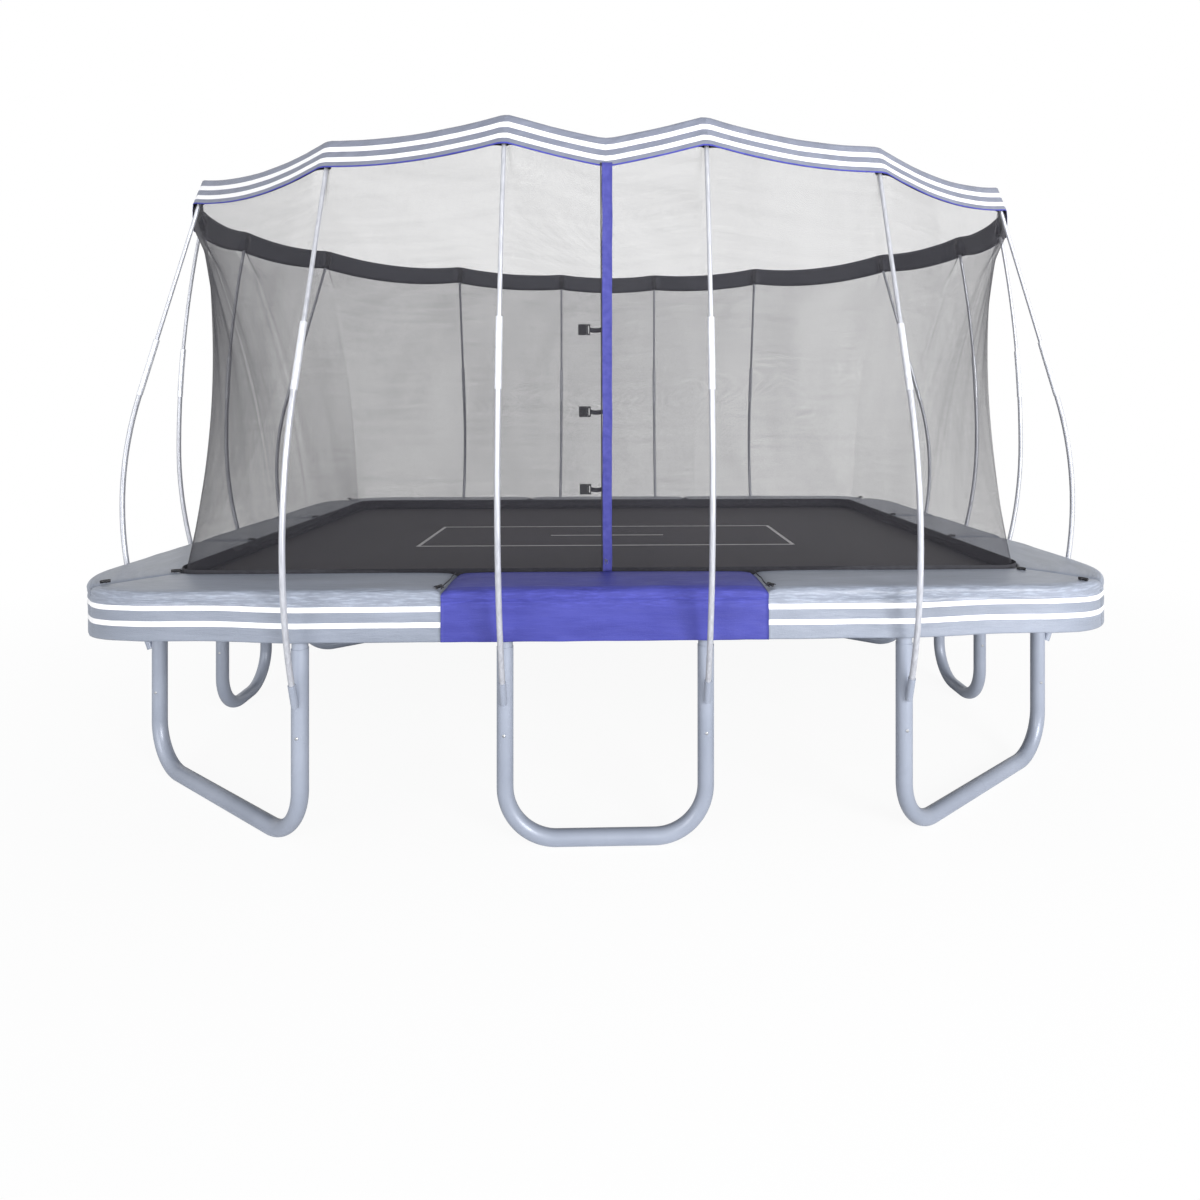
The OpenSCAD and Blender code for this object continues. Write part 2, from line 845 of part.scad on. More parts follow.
module leg_base_back() {
    leg_base(2 * leg_x_inner, [0, half_y], 180);
}

module leg_base_left() {
    leg_base(2 * leg_y_inner, [-half_x, 0], -90);
}

module leg_base_right() {
    leg_base(2 * leg_y_inner, [half_x, 0], 90);
}

module leg_base_front_left() {
    corner_base(-1, -1);
}

module leg_base_front_right() {
    corner_base(1, -1);
}

module leg_base_back_left() {
    corner_base(-1, 1);
}

module leg_base_back_right() {
    corner_base(1, 1);
}

module pad_front_left() {
    color(pad_grey) mirror([1, 0, 0]) pad_section(front_outline);
}

module pad_front_centre() {
    color(pad_blue) pad_section(front_centre_outline);
}

module pad_front_right() {
    color(pad_grey) pad_section(front_outline);
}

module pad_left() {
    color(pad_grey) mirror([1, 0, 0]) pad_section(side_outline);
}

module pad_right() {
    color(pad_grey) pad_section(side_outline);
}

module pad_back() {
    color(pad_grey) pad_section(back_outline);
}

module pole_front_1() {
    pole(front_spots[0]);
}

module pole_front_2() {
    pole(front_spots[1]);
}

module pole_front_3() {
    pole(front_spots[2]);
}

module pole_front_4() {
    pole(front_spots[3]);
}

module pole_back_1() {
    pole(back_spots[0]);
}

module pole_back_2() {
    pole(back_spots[1]);
}

module pole_back_3() {
    pole(back_spots[2]);
}

module pole_back_4() {
    pole(back_spots[3]);
}

module pole_left_1() {
    pole(left_spots[0]);
}

module pole_left_2() {
    pole(left_spots[1]);
}

module pole_left_3() {
    pole(left_spots[2]);
}

module pole_left_4() {
    pole(left_spots[3]);
}

module pole_right_1() {
    pole(right_spots[0]);
}

module pole_right_2() {
    pole(right_spots[1]);
}

module pole_right_3() {
    pole(right_spots[2]);
}

module pole_right_4() {
    pole(right_spots[3]);
}

rail_front();
rail_back();
rail_left();
rail_right();
rail_corner_front_left();
rail_corner_front_right();
rail_corner_back_left();
rail_corner_back_right();
leg_sockets();
leg_base_front();
leg_base_back();
leg_base_left();
leg_base_right();
leg_base_front_left();
leg_base_front_right();
leg_base_back_left();
leg_base_back_right();
uprights_front();
uprights_back();
uprights_left();
uprights_right();
pole_front_1();
pole_front_2();
pole_front_3();
pole_front_4();
pole_back_1();
pole_back_2();
pole_back_3();
pole_back_4();
pole_left_1();
pole_left_2();
pole_left_3();
pole_left_4();
pole_right_1();
pole_right_2();
pole_right_3();
pole_right_4();
pole_sleeves();
pole_caps();
leg_screws();
springs();
mat_rings();
mat();
pad_front_left();
pad_front_centre();
pad_front_right();
pad_left();
pad_right();
pad_back();
net_front();
net_back();
net_left();
net_right();
top_band();
door_placket();
zip_slider();
buckle_sockets();
buckle_clip_1();
buckle_clip_2();
buckle_clip_3();
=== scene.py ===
import math

import bmesh
import bpy
import numpy as np
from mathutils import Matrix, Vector, noise


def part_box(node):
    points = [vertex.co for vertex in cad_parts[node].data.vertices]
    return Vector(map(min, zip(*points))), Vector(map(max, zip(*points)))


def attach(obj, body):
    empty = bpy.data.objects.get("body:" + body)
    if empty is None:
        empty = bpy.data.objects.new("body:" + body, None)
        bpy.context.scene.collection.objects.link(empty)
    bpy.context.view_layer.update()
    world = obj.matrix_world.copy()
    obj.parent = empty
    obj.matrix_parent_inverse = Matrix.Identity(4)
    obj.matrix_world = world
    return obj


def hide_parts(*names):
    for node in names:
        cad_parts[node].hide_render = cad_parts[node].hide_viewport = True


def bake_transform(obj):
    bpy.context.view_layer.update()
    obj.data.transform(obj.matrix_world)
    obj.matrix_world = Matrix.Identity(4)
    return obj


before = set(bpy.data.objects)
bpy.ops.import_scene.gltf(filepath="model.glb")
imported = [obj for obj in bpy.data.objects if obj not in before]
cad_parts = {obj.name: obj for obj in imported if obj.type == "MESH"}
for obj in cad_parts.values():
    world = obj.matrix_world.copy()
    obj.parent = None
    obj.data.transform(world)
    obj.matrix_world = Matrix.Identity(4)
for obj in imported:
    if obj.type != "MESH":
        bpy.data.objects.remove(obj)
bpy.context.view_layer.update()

# ------------------------------------------------------------ sizes, metres
# The rail's centre line in plan, and the heights that the soft pieces keep to.
HALF_X = 2.100
HALF_Y = 1.492
CORNER_R = 0.400
STRAIGHT_X = HALF_X - CORNER_R
STRAIGHT_Y = HALF_Y - CORNER_R
CORNER_ARC = CORNER_R * math.pi / 2
PERIMETER = 4 * (STRAIGHT_X + STRAIGHT_Y + CORNER_ARC)
MAT_Z = 0.950
RAIL_R = 0.032

PAD_IN = -0.270
PAD_OUT = 0.049
PAD_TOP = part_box("pad_front_left")[1].z
PAD_BOTTOM = PAD_TOP - 0.022
SKIRT_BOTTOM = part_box("pad_front_left")[0].z
STRIPE_EDGES = (0.942, 0.922, 0.882, 0.862)
BLUE_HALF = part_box("pad_front_centre")[1].x

# The net's foot and the top band. Distances from the pole tips count inwards.
NET_D = PAD_IN - 0.012
NET_FOOT = MAT_Z + 0.008
NET_BOW = 0.045
DOOR_FLAT = 0.130
DOOR_X = 0.005
DOOR_HALF = 0.0195
DOOR_FOOT = 1.000
BAND_TOP = 2.780
BAND_H = 0.116
BAND_LOW = BAND_TOP - BAND_H
BAND_SLOPE = math.tan(math.radians(14))
BAND_D = -0.0255
BAND_SAG, CORNER_SAG, DOOR_SAG = 0.024, 0.045, 0.085
TIP_FLAT = 0.018
LINING_GAP = 0.004
POCKET_DEPTH = 0.0275
POCKET_HALF = 0.019
POCKET_GAP = 0.0016


def smooth(t):
    t = np.clip(t, 0.0, 1.0)
    return t * t * (3 - 2 * t)


def wave(x, y, z=0.0):
    """Smooth noise from about -1 to 1."""
    return noise.noise(Vector((x, y, z)))


# ---------------------------------------------------------------- materials


class Graph:
    """A material's node tree, built with short calls."""

    def __init__(self, name):
        self.material = bpy.data.materials.new(name)
        self.material.use_nodes = True
        self.tree = self.material.node_tree
        self.tree.nodes.clear()
        self.out = self.add("ShaderNodeOutputMaterial")
        self.bsdf = self.add("ShaderNodeBsdfPrincipled")
        self.link(self.bsdf.outputs[0], self.out.inputs["Surface"])

    def add(self, kind, **values):
        made = self.tree.nodes.new(kind)
        for key, value in values.items():
            if hasattr(made, key):
                setattr(made, key, value)
            else:
                self.put(made.inputs[key.replace("_", " ")], value)
        return made

    def link(self, a, b):
        self.tree.links.new(a, b)

    def put(self, socket, value):
        if isinstance(value, bpy.types.NodeSocket):
            self.link(value, socket)
        else:
            socket.default_value = value

    def math(self, operation, a, b=0.0, clamp=False):
        made = self.add("ShaderNodeMath", operation=operation, use_clamp=clamp)
        self.put(made.inputs[0], a)
        self.put(made.inputs[1], b)
        return made.outputs[0]

    def uv(self):
        """The cloth's own coordinates, in metres, as two sockets."""
        split = self.add("ShaderNodeSeparateXYZ")
        self.link(self.add("ShaderNodeUVMap", uv_map="cloth").outputs[0], split.inputs[0])
        return split.outputs[0], split.outputs[1]

    def place(self, x, y, z=0.0):
        made = self.add("ShaderNodeCombineXYZ")
        for socket, value in zip(made.inputs, (x, y, z)):
            self.put(socket, value)
        return made.outputs[0]

    def object_point(self):
        return self.add("ShaderNodeTexCoord").outputs["Object"]

    def stretched(self, vector, x, y, z=1.0):
        made = self.add("ShaderNodeMapping")
        self.link(vector, made.inputs["Vector"])
        made.inputs["Scale"].default_value = (x, y, z)
        return made.outputs[0]

    def noise(self, vector, scale, detail=2.0, rough=0.5):
        made = self.add("ShaderNodeTexNoise", Scale=scale, Detail=detail, Roughness=rough)
        self.link(vector, made.inputs["Vector"])
        return made.outputs[0]

    def range(self, value, low, high, out_low, out_high):
        made = self.add("ShaderNodeMapRange")
        for socket, v in zip(made.inputs, (value, low, high, out_low, out_high)):
            self.put(socket, v)
        return made.outputs[0]

    def mix(self, fac, a, b):
        made = self.add("ShaderNodeMix", data_type="RGBA")
        self.put(made.inputs[0], fac)
        self.put(made.inputs[6], a)
        self.put(made.inputs[7], b)
        return made.outputs[2]

    def bump(self, height, distance, strength=1.0, onto=None):
        made = self.add("ShaderNodeBump", Strength=strength, Distance=distance)
        self.link(height, made.inputs["Height"])
        if onto is not None:
            self.link(onto, made.inputs["Normal"])
        return made.outputs[0]

    def finish(self, colour, roughness, normal=None, **fixed):
        self.put(self.bsdf.inputs["Base Color"], colour)
        self.put(self.bsdf.inputs["Roughness"], roughness)
        if normal is not None:
            self.link(normal, self.bsdf.inputs["Normal"])
        for key, value in fixed.items():
            self.bsdf.inputs[key.replace("_", " ")].default_value = value
        return self.material


def rgb(r, g, b):
    """A colour from its 0 to 255 display values."""
    return tuple((c / 255) ** 2.2 for c in (r, g, b)) + (1.0,)


def painted_steel():
    g = Graph("powder_coated_steel")
    point = g.object_point()
    cloud = g.noise(point, 3.0, 3.0)
    colour = g.mix(g.range(cloud, 0.3, 0.7, 0, 1), rgb(138, 145, 160), rgb(153, 160, 175))
    peel = g.noise(point, 420.0, 2.0)
    rough = g.range(g.noise(point, 40.0, 3.0), 0.2, 0.8, 0.32, 0.48)
    return g.finish(colour, rough, g.bump(peel, 0.0004, 0.35), Metallic=0.1, Coat_Weight=0.12)


def pole_steel():
    g = Graph("galvanised_pole")
    point = g.object_point()
    streaks = g.noise(g.stretched(point, 160, 160, 5), 1.0, 3.0)
    colour = g.mix(g.range(streaks, 0.3, 0.7, 0, 1), rgb(170, 172, 180), rgb(196, 198, 205))
    rough = g.range(streaks, 0.2, 0.8, 0.28, 0.42)
    return g.finish(colour, rough, g.bump(streaks, 0.0003, 0.25), Metallic=0.4)


def sleeve_steel():
    g = Graph("pole_sleeve_steel")
    point = g.object_point()
    grain = g.noise(g.stretched(point, 90, 90, 30), 1.0, 3.0)
    colour = g.mix(g.range(grain, 0.3, 0.7, 0, 1), rgb(200, 203, 211), rgb(222, 224, 230))
    rough = g.range(grain, 0.2, 0.8, 0.25, 0.4)
    return g.finish(colour, rough, g.bump(grain, 0.0003, 0.25), Metallic=0.35)


def plated_steel():
    g = Graph("zinc_plate")
    point = g.object_point()
    spangle = g.noise(point, 180.0, 3.0)
    colour = g.mix(spangle, rgb(150, 152, 156), rgb(205, 206, 208))
    return g.finish(colour, g.range(spangle, 0.2, 0.8, 0.25, 0.45), g.bump(spangle, 0.0002, 0.3), Metallic=1.0)


def black_plastic():
    g = Graph("moulded_plastic")
    point = g.object_point()
    grain = g.noise(point, 900.0, 2.0)
    colour = g.mix(g.noise(point, 25.0, 2.0), rgb(26, 26, 30), rgb(40, 40, 44))
    return g.finish(colour, g.range(grain, 0.2, 0.8, 0.4, 0.6), g.bump(grain, 0.0002, 0.4))


def woven(g, u, v, pitch):
    """Height of a plain weave: threads cross over and under."""
    across = g.math("SINE", g.math("MULTIPLY", u, 2 * math.pi / pitch))
    along = g.math("SINE", g.math("MULTIPLY", v, 2 * math.pi / pitch))
    return g.math("MULTIPLY", across, along)


def cloth(name, dark, light, pitch=0.0016, roughness=0.75, sheen=0.15, blotch=6.0, specular=0.5):
    """A plain-woven cloth with a faint unevenness of colour."""
    g = Graph(name)
    u, v = g.uv()
    weave = woven(g, u, v, pitch)
    cloud = g.noise(g.place(u, v), blotch, 4.0, 0.6)
    thread = g.noise(g.place(g.math("MULTIPLY", u, 14), g.math("MULTIPLY", v, 300)), 1.0, 2.0)
    tone = g.math("ADD", g.math("MULTIPLY", cloud, 0.7), g.math("MULTIPLY", thread, 0.3))
    colour = g.mix(g.range(tone, 0.3, 0.7, 0, 1), dark, light)
    rough = g.range(cloud, 0.2, 0.8, roughness - 0.08, roughness + 0.08)
    return g.finish(colour, rough, g.bump(weave, pitch / 3, 0.35), Sheen_Weight=sheen, Specular_IOR_Level=specular)


def mat_cloth():
    return cloth("mat_weave", rgb(65, 63, 65), rgb(78, 76, 78), pitch=0.0022, roughness=0.7, sheen=0.02,
                 blotch=1.6, specular=0.18)


def webbing(name, dark, light):
    """A ribbed tape."""
    g = Graph(name)
    u, v = g.uv()
    ribs = g.math("SINE", g.math("MULTIPLY", v, 2 * math.pi / 0.0022))
    cloud = g.noise(g.place(u, v), 40.0, 3.0)
    colour = g.mix(g.range(cloud, 0.3, 0.7, 0, 1), dark, light)
    return g.finish(colour, g.range(ribs, -1, 1, 0.65, 0.8), g.bump(ribs, 0.0006, 0.5))


def vinyl(name, dark, light, crease_and_glint=1.0, coat=0.35, specular=0.5):
    """Coated pad cloth: fine leathery grain, creases that run along the pad, an uneven gloss, and a painted
    highlight along the creased fold.
    """
    g = Graph(name)
    u, v = g.uv()
    cloud = g.noise(g.place(g.math("MULTIPLY", u, 2.0), g.math("MULTIPLY", v, 9.0)), 1.0, 4.0, 0.6)
    colour = g.mix(g.range(cloud, 0.3, 0.7, 0, 1), dark, light)
    creases = g.noise(g.place(g.math("MULTIPLY", u, 9.0), g.math("MULTIPLY", v, 60.0)), 1.0, 5.0, 0.62)
    puckers = g.noise(g.place(g.math("MULTIPLY", u, 60.0), g.math("MULTIPLY", v, 18.0)), 1.0, 3.0, 0.6)
    grain = woven(g, u, v, 0.0014)
    fold = g.math("MULTIPLY", g.range(v, 0.28, 0.31, 0, 1), g.range(v, 0.37, 0.40, 1, 0))
    # Painted highlight: the creased fold is lightened in colour where it would catch the light
    fine = g.noise(g.place(g.math("MULTIPLY", u, 16.0), g.math("MULTIPLY", v, 130.0), 3.0), 1.0, 4.0, 0.6)
    glint = g.math("MULTIPLY", fold, g.range(fine, 0.47, 0.66, 0, 0.42 * crease_and_glint))
    colour = g.mix(glint, colour, tuple(min(1.0, 1.8 * c) for c in light[:3]) + (1.0,))
    creases = g.math("MULTIPLY", creases, g.math("ADD", g.math("MULTIPLY", fold, 1.4), 1.0))
    shape = g.bump(creases, 0.006 * crease_and_glint, 0.55)
    shape = g.bump(puckers, 0.002 * crease_and_glint, 0.35, shape)
    shape = g.bump(grain, 0.0003, 0.3, shape)
    rough = g.range(creases, 0.25, 0.75, 0.36, 0.56)
    return g.finish(colour, rough, shape, Coat_Weight=coat, Coat_Roughness=0.28, Specular_IOR_Level=specular)


NET_PITCH = 0.003
NET_COVER = 0.18
# Extra thread cover on the net's inner face: painted shade
NET_INNER_SHADE = 0.24


def net_mesh():
    """Open knit: threads cover NET_COVER of the sheet, more where it slants.
    They cover more on its inner face, as painted shade, and less towards the right, as painted light."""
    g = Graph("net_knit")
    u, v = g.uv()
    ridges = []
    for t in (g.math("ADD", u, v), g.math("SUBTRACT", u, v)):
        turn = g.math("COSINE", g.math("MULTIPLY", t, math.pi / NET_PITCH / math.sqrt(2)))
        ridges.append(g.math("POWER", g.math("ABSOLUTE", turn), 34.0))
    threads = g.math("MAXIMUM", *ridges)
    cloud = g.noise(g.place(g.math("MULTIPLY", u, 3.0), g.math("MULTIPLY", v, 0.7)), 1.0, 3.0)
    stitch = g.noise(g.place(g.math("MULTIPLY", u, 1.5), g.math("MULTIPLY", v, 34.0)), 1.0, 2.0)
    body = g.math("ADD", g.range(cloud, 0.3, 0.7, -0.04, 0.06), g.range(stitch, 0.3, 0.7, -0.02, 0.03))
    threads = g.math("ADD", threads, body, clamp=True)
    # Painted light: the threads cover less towards the right, so the net comes out lighter there
    split = g.add("ShaderNodeSeparateXYZ")
    g.link(g.object_point(), split.inputs[0])
    painted_light_fade = g.range(split.outputs[0], -0.3, 1.7, 1.0, 0.45)
    threads = g.math("MULTIPLY", threads, g.range(split.outputs[0], 0.5, 1.9, 1.0, 0.8))
    # Painted shade: the inner face, which is seen in shade, gets denser threads and comes out darker
    back = g.add("ShaderNodeNewGeometry").outputs["Backfacing"]
    inner = g.math("MULTIPLY", back, g.math("MULTIPLY", painted_light_fade, NET_INNER_SHADE))
    facing = g.math("SUBTRACT", 1.0, g.add("ShaderNodeLayerWeight", Blend=0.5).outputs["Facing"])
    slant = g.math("SUBTRACT", g.math("DIVIDE", 1.0, g.math("MAXIMUM", facing, 0.08)), 1.0)
    open_share = g.math("POWER", 1.0 - NET_COVER, g.math("MULTIPLY", slant, painted_light_fade))
    holes = g.math("MULTIPLY", g.math("SUBTRACT", 1.0, threads), open_share)
    holes = g.math("MULTIPLY", holes, g.math("SUBTRACT", 1.0, inner))
    g.link(g.math("SUBTRACT", 1.0, holes), g.bsdf.inputs["Alpha"])
    return g.finish(rgb(54, 53, 60), g.range(cloud, 0.2, 0.8, 0.7, 0.85))


STEEL = painted_steel()
POLE = pole_steel()
SLEEVE = sleeve_steel()
ZINC = plated_steel()
PLASTIC = black_plastic()
MAT = mat_cloth()
MAT_LINE = webbing("mat_tape", rgb(205, 203, 203), rgb(222, 220, 219))
HEM = webbing("black_tape", rgb(40, 40, 46), rgb(54, 54, 60))
NET = net_mesh()
BAND_GREY = cloth("band_grey", rgb(104, 109, 124), rgb(129, 134, 150), roughness=0.55, blotch=14.0)
BAND_WHITE = cloth("band_white", rgb(242, 242, 246), rgb(250, 250, 252), roughness=0.5, blotch=14.0)
BAND_BLACK = cloth("band_inner", rgb(46, 47, 52), rgb(60, 61, 68), roughness=0.7, blotch=10.0)
POCKET = cloth("band_pocket", rgb(22, 22, 26), rgb(31, 31, 36), roughness=0.7, blotch=10.0)
PIPING = webbing("blue_piping", rgb(58, 60, 150), rgb(76, 80, 172))
PAD_GREY = vinyl("pad_vinyl_grey", rgb(118, 125, 138), rgb(140, 147, 162))
PAD_BLUE = vinyl("pad_vinyl_blue", rgb(58, 60, 134), rgb(72, 75, 156), crease_and_glint=0.7, coat=0.04,
                 specular=0.25)
PAD_WHITE = vinyl("pad_stripe_white", rgb(246, 246, 248), rgb(252, 252, 253), crease_and_glint=0.3, coat=0.2)
PAD_UNDER = cloth("pad_underside", rgb(70, 73, 82), rgb(84, 88, 98))
DOOR_BLUE = webbing("door_webbing", rgb(60, 62, 138), rgb(76, 78, 156))


def dress_cad(node, material):
    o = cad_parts[node]
    o.data.materials.clear()
    o.data.materials.append(material)


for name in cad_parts:
    if name.startswith(("rail", "leg_base", "leg_sockets", "uprights")):
        dress_cad(name, STEEL)
    elif name == "pole_sleeves":
        dress_cad(name, SLEEVE)
    elif name == "pole_caps" or name.startswith("buckle"):
        dress_cad(name, PLASTIC)
    elif name.startswith("pole_"):
        dress_cad(name, POLE)
    elif name in ("leg_screws", "zip_slider"):
        dress_cad(name, ZINC)

# ------------------------------------------------------------- mesh helpers


def mesh_piece(name, points, faces, materials, face_slots=None, uvs=None, smooth_faces=True):
    """An object from points, faces and one cloth coordinate per point."""
    data = bpy.data.meshes.new(name)
    data.from_pydata([tuple(p) for p in points], [], [tuple(f) for f in faces])
    for m in materials:
        data.materials.append(m)
    if face_slots is not None:
        data.polygons.foreach_set("material_index", np.asarray(face_slots, np.int32))
    data.polygons.foreach_set("use_smooth", np.full(len(data.polygons), smooth_faces))
    if uvs is not None:
        layer = data.uv_layers.new(name="cloth")
        corner = np.zeros(len(data.loops), np.int32)
        data.loops.foreach_get("vertex_index", corner)
        layer.data.foreach_set("uv", np.asarray(uvs, np.float32)[corner].ravel())
    data.update()
    o = bpy.data.objects.new(name, data)
    bpy.context.scene.collection.objects.link(o)
    return o


def grid_faces(rows, columns, wrap_rows=False, wrap_columns=False):
    """Quads of a grid of rows x columns points, row by row."""
    faces = []
    for r in range(rows if wrap_rows else rows - 1):
        for c in range(columns if wrap_columns else columns - 1):
            r2 = (r + 1) % rows
            c2 = (c + 1) % columns
            faces.append((r * columns + c, r * columns + c2, r2 * columns + c2, r2 * columns + c))
    return faces


def tube(name, path, radius, material, sides=8, closed=False):
    """A round tube along a list of points, with a cloth coordinate along it."""
    path = np.asarray(path, float)
    count = len(path)
    ahead = np.roll(path, -1, 0) - np.roll(path, 1, 0)
    if not closed:
        ahead[0] = path[1] - path[0]
        ahead[-1] = path[-1] - path[-2]
    ahead /= np.linalg.norm(ahead, axis=1)[:, None]
    up = np.array([0.0, 0.0, 1.0]) if abs(ahead[0][2]) < 0.9 else np.array([1.0, 0.0, 0.0])
    points, uvs, run = [], [], 0.0
    side = np.cross(ahead[0], up)
    for i in range(count):
        side = side - ahead[i] * (side @ ahead[i])
        side /= np.linalg.norm(side)
        other = np.cross(ahead[i], side)
        if i:
            run += np.linalg.norm(path[i] - path[i - 1])
        for k in range(sides):
            a = 2 * math.pi * k / sides
            points.append(path[i] + radius * (math.cos(a) * side + math.sin(a) * other))
            uvs.append((a * radius, run))
    faces = grid_faces(count, sides, wrap_rows=closed, wrap_columns=True)
    if not closed:
        faces.append(tuple(range(sides)))
        faces.append(tuple(reversed(range((count - 1) * sides, count * sides))))
    return mesh_piece(name, points, faces, [material], uvs=uvs)


def ride(o, body="frame"):
    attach(o, body)
    return o


# ------------------------------------------------- the rail's path in plan


def rail_path(s, d=0.0):
    """Plan point and outward direction at s metres along the rail's centre line, from the
    front's middle towards +X, drawn out by d."""
    s = s % PERIMETER
    quarter = PERIMETER / 4
    flip = 1
    if s > 2 * quarter:
        s -= 2 * quarter
        flip = -1
    if s <= STRAIGHT_X:
        p, n = (s, -HALF_Y), (0.0, -1.0)
    elif s <= STRAIGHT_X + CORNER_ARC:
        a = (s - STRAIGHT_X) / CORNER_R
        n = (math.sin(a), -math.cos(a))
        p = (STRAIGHT_X + CORNER_R * n[0], -STRAIGHT_Y + CORNER_R * n[1])
    elif s <= STRAIGHT_X + CORNER_ARC + 2 * STRAIGHT_Y:
        p, n = (HALF_X, -STRAIGHT_Y + s - STRAIGHT_X - CORNER_ARC), (1.0, 0.0)
    elif s <= STRAIGHT_X + 2 * CORNER_ARC + 2 * STRAIGHT_Y:
        a = (s - STRAIGHT_X - CORNER_ARC - 2 * STRAIGHT_Y) / CORNER_R
        n = (math.cos(a), math.sin(a))
        p = (STRAIGHT_X + CORNER_R * n[0], STRAIGHT_Y + CORNER_R * n[1])
    else:
        p, n = (2 * quarter - s, HALF_Y), (0.0, 1.0)
    return np.array([flip * (p[0] + d * n[0]), flip * (p[1] + d * n[1])]), np.array([flip * n[0], flip * n[1]])


CORNER_MID = STRAIGHT_X + CORNER_ARC / 2
SIDE_MID = PERIMETER / 4
BACK_MID = PERIMETER / 2

# --------------------------------------------------------------------- pads


def pad_profile():
    """The pad's cross section as a closed loop of (distance out, height, part). Parts: top, fold, skirt,
    stripe, inside and under."""
    loop = []
    for a in np.linspace(-math.pi * 0.9, -math.pi * 1.5, 7):
        loop.append((PAD_IN + 0.011 + 0.011 * math.cos(a), PAD_TOP - 0.011 + 0.011 * math.sin(a), "edge"))
    for d in np.linspace(PAD_IN + 0.030, PAD_OUT - 0.028, 19):
        loop.append((d, PAD_TOP, "top"))
    for a in np.linspace(math.pi / 2, 0, 7)[1:]:
        loop.append((PAD_OUT - 0.020 + 0.020 * math.cos(a), PAD_TOP - 0.020 + 0.020 * math.sin(a), "fold"))
    heights = [0.974, 0.967, 0.961, 0.957, 0.953, 0.947] + list(STRIPE_EDGES)
    extra = [(a + b) / 2 for a, b in zip(STRIPE_EDGES, STRIPE_EDGES[1:])]
    lower = list(np.linspace(STRIPE_EDGES[-1], SKIRT_BOTTOM + 0.006, 6))[1:]
    for z in sorted(heights + extra + lower, reverse=True):
        loop.append((PAD_OUT, z, "skirt"))
    loop.append((PAD_OUT - 0.0005, SKIRT_BOTTOM + 0.001, "hem"))
    loop.append((PAD_OUT - 0.0045, SKIRT_BOTTOM + 0.001, "hem"))
    for z in np.linspace(SKIRT_BOTTOM + 0.010, PAD_BOTTOM - 0.003, 7):
        loop.append((PAD_OUT - 0.005, z, "inside"))
    for d in np.linspace(PAD_OUT - 0.020, PAD_IN + 0.030, 8):
        loop.append((d, PAD_BOTTOM + 0.0005, "under"))
    return loop


# Distance of the front uprights from the middle, where they press the skirt out
FRONT_LEGS = (0.389, 1.171)


def pad_shift(s, d, z, part, ends, puff):
    """How far the cover stands off its profile: crown, flutes, and folds that gather at the outer edge."""
    near = min(abs(s - ends[0]), abs(s - ends[1]))
    gather = math.exp(-near / 0.06)
    lift = 0.0
    out = 0.0
    if part in ("top", "edge"):
        across = (d - PAD_IN) / (PAD_OUT - PAD_IN)
        fold = smooth((across - 0.72) / 0.28)
        lift += puff * math.sin(math.pi * min(max(across, 0), 1)) ** 0.6
        lift += 0.0022 * wave(s * 2.2, d * 9.0, 3.0)
        lift += 0.0030 * fold * wave(s * 7.0, d * 46.0, 9.0)
        lift += 0.0020 * gather * wave(s * 60.0, d * 12.0, 5.0)
        lift -= 0.006 * gather
    elif part == "fold":
        out += 0.0032 * wave(s * 8.0, z * 70.0, 9.0)
        lift += 0.0028 * wave(s * 7.0, (PAD_OUT + PAD_TOP - z) * 46.0, 9.0) - 0.004 * gather
    elif part in ("skirt", "hem", "inside"):
        down = min(1.0, max(0.0, (PAD_BOTTOM - z) / (PAD_BOTTOM - SKIRT_BOTTOM)))
        out += 0.0050 * down * wave(s * 3.6, z * 1.5, 21.0) + 0.0022 * down * wave(s * 11.0, z * 3.0, 33.0)
        out += 0.0030 * (1 - down) * wave(s * 6.0, z * 52.0, 9.0)
        out += 0.0016 * wave(s * 16.0, z * 26.0, 41.0)
        out -= 0.003 * gather * (1 - down)
        # The skirt is drawn up round the corners, and creased under the fold
        if abs(s) < CORNER_MID:
            near_corner = smooth((abs(s) - 1.15) / 0.4) * smooth((CORNER_MID - abs(s)) / 0.26)
            lift += 0.013 * near_corner * smooth(down / 0.3)
        out -= 0.8 * puff * math.exp(-(((z - 0.957) / 0.006) ** 2)) * (0.6 + 0.6 * wave(s * 3.0, 77.0))
        out += 0.0035 * down * sum(math.exp(-(((abs(s) - leg) / 0.024) ** 2)) for leg in FRONT_LEGS)
        if down > 0.9:
            lift += 0.0025 * wave(s * 4.0, 2.0, 55.0)
    return out, lift


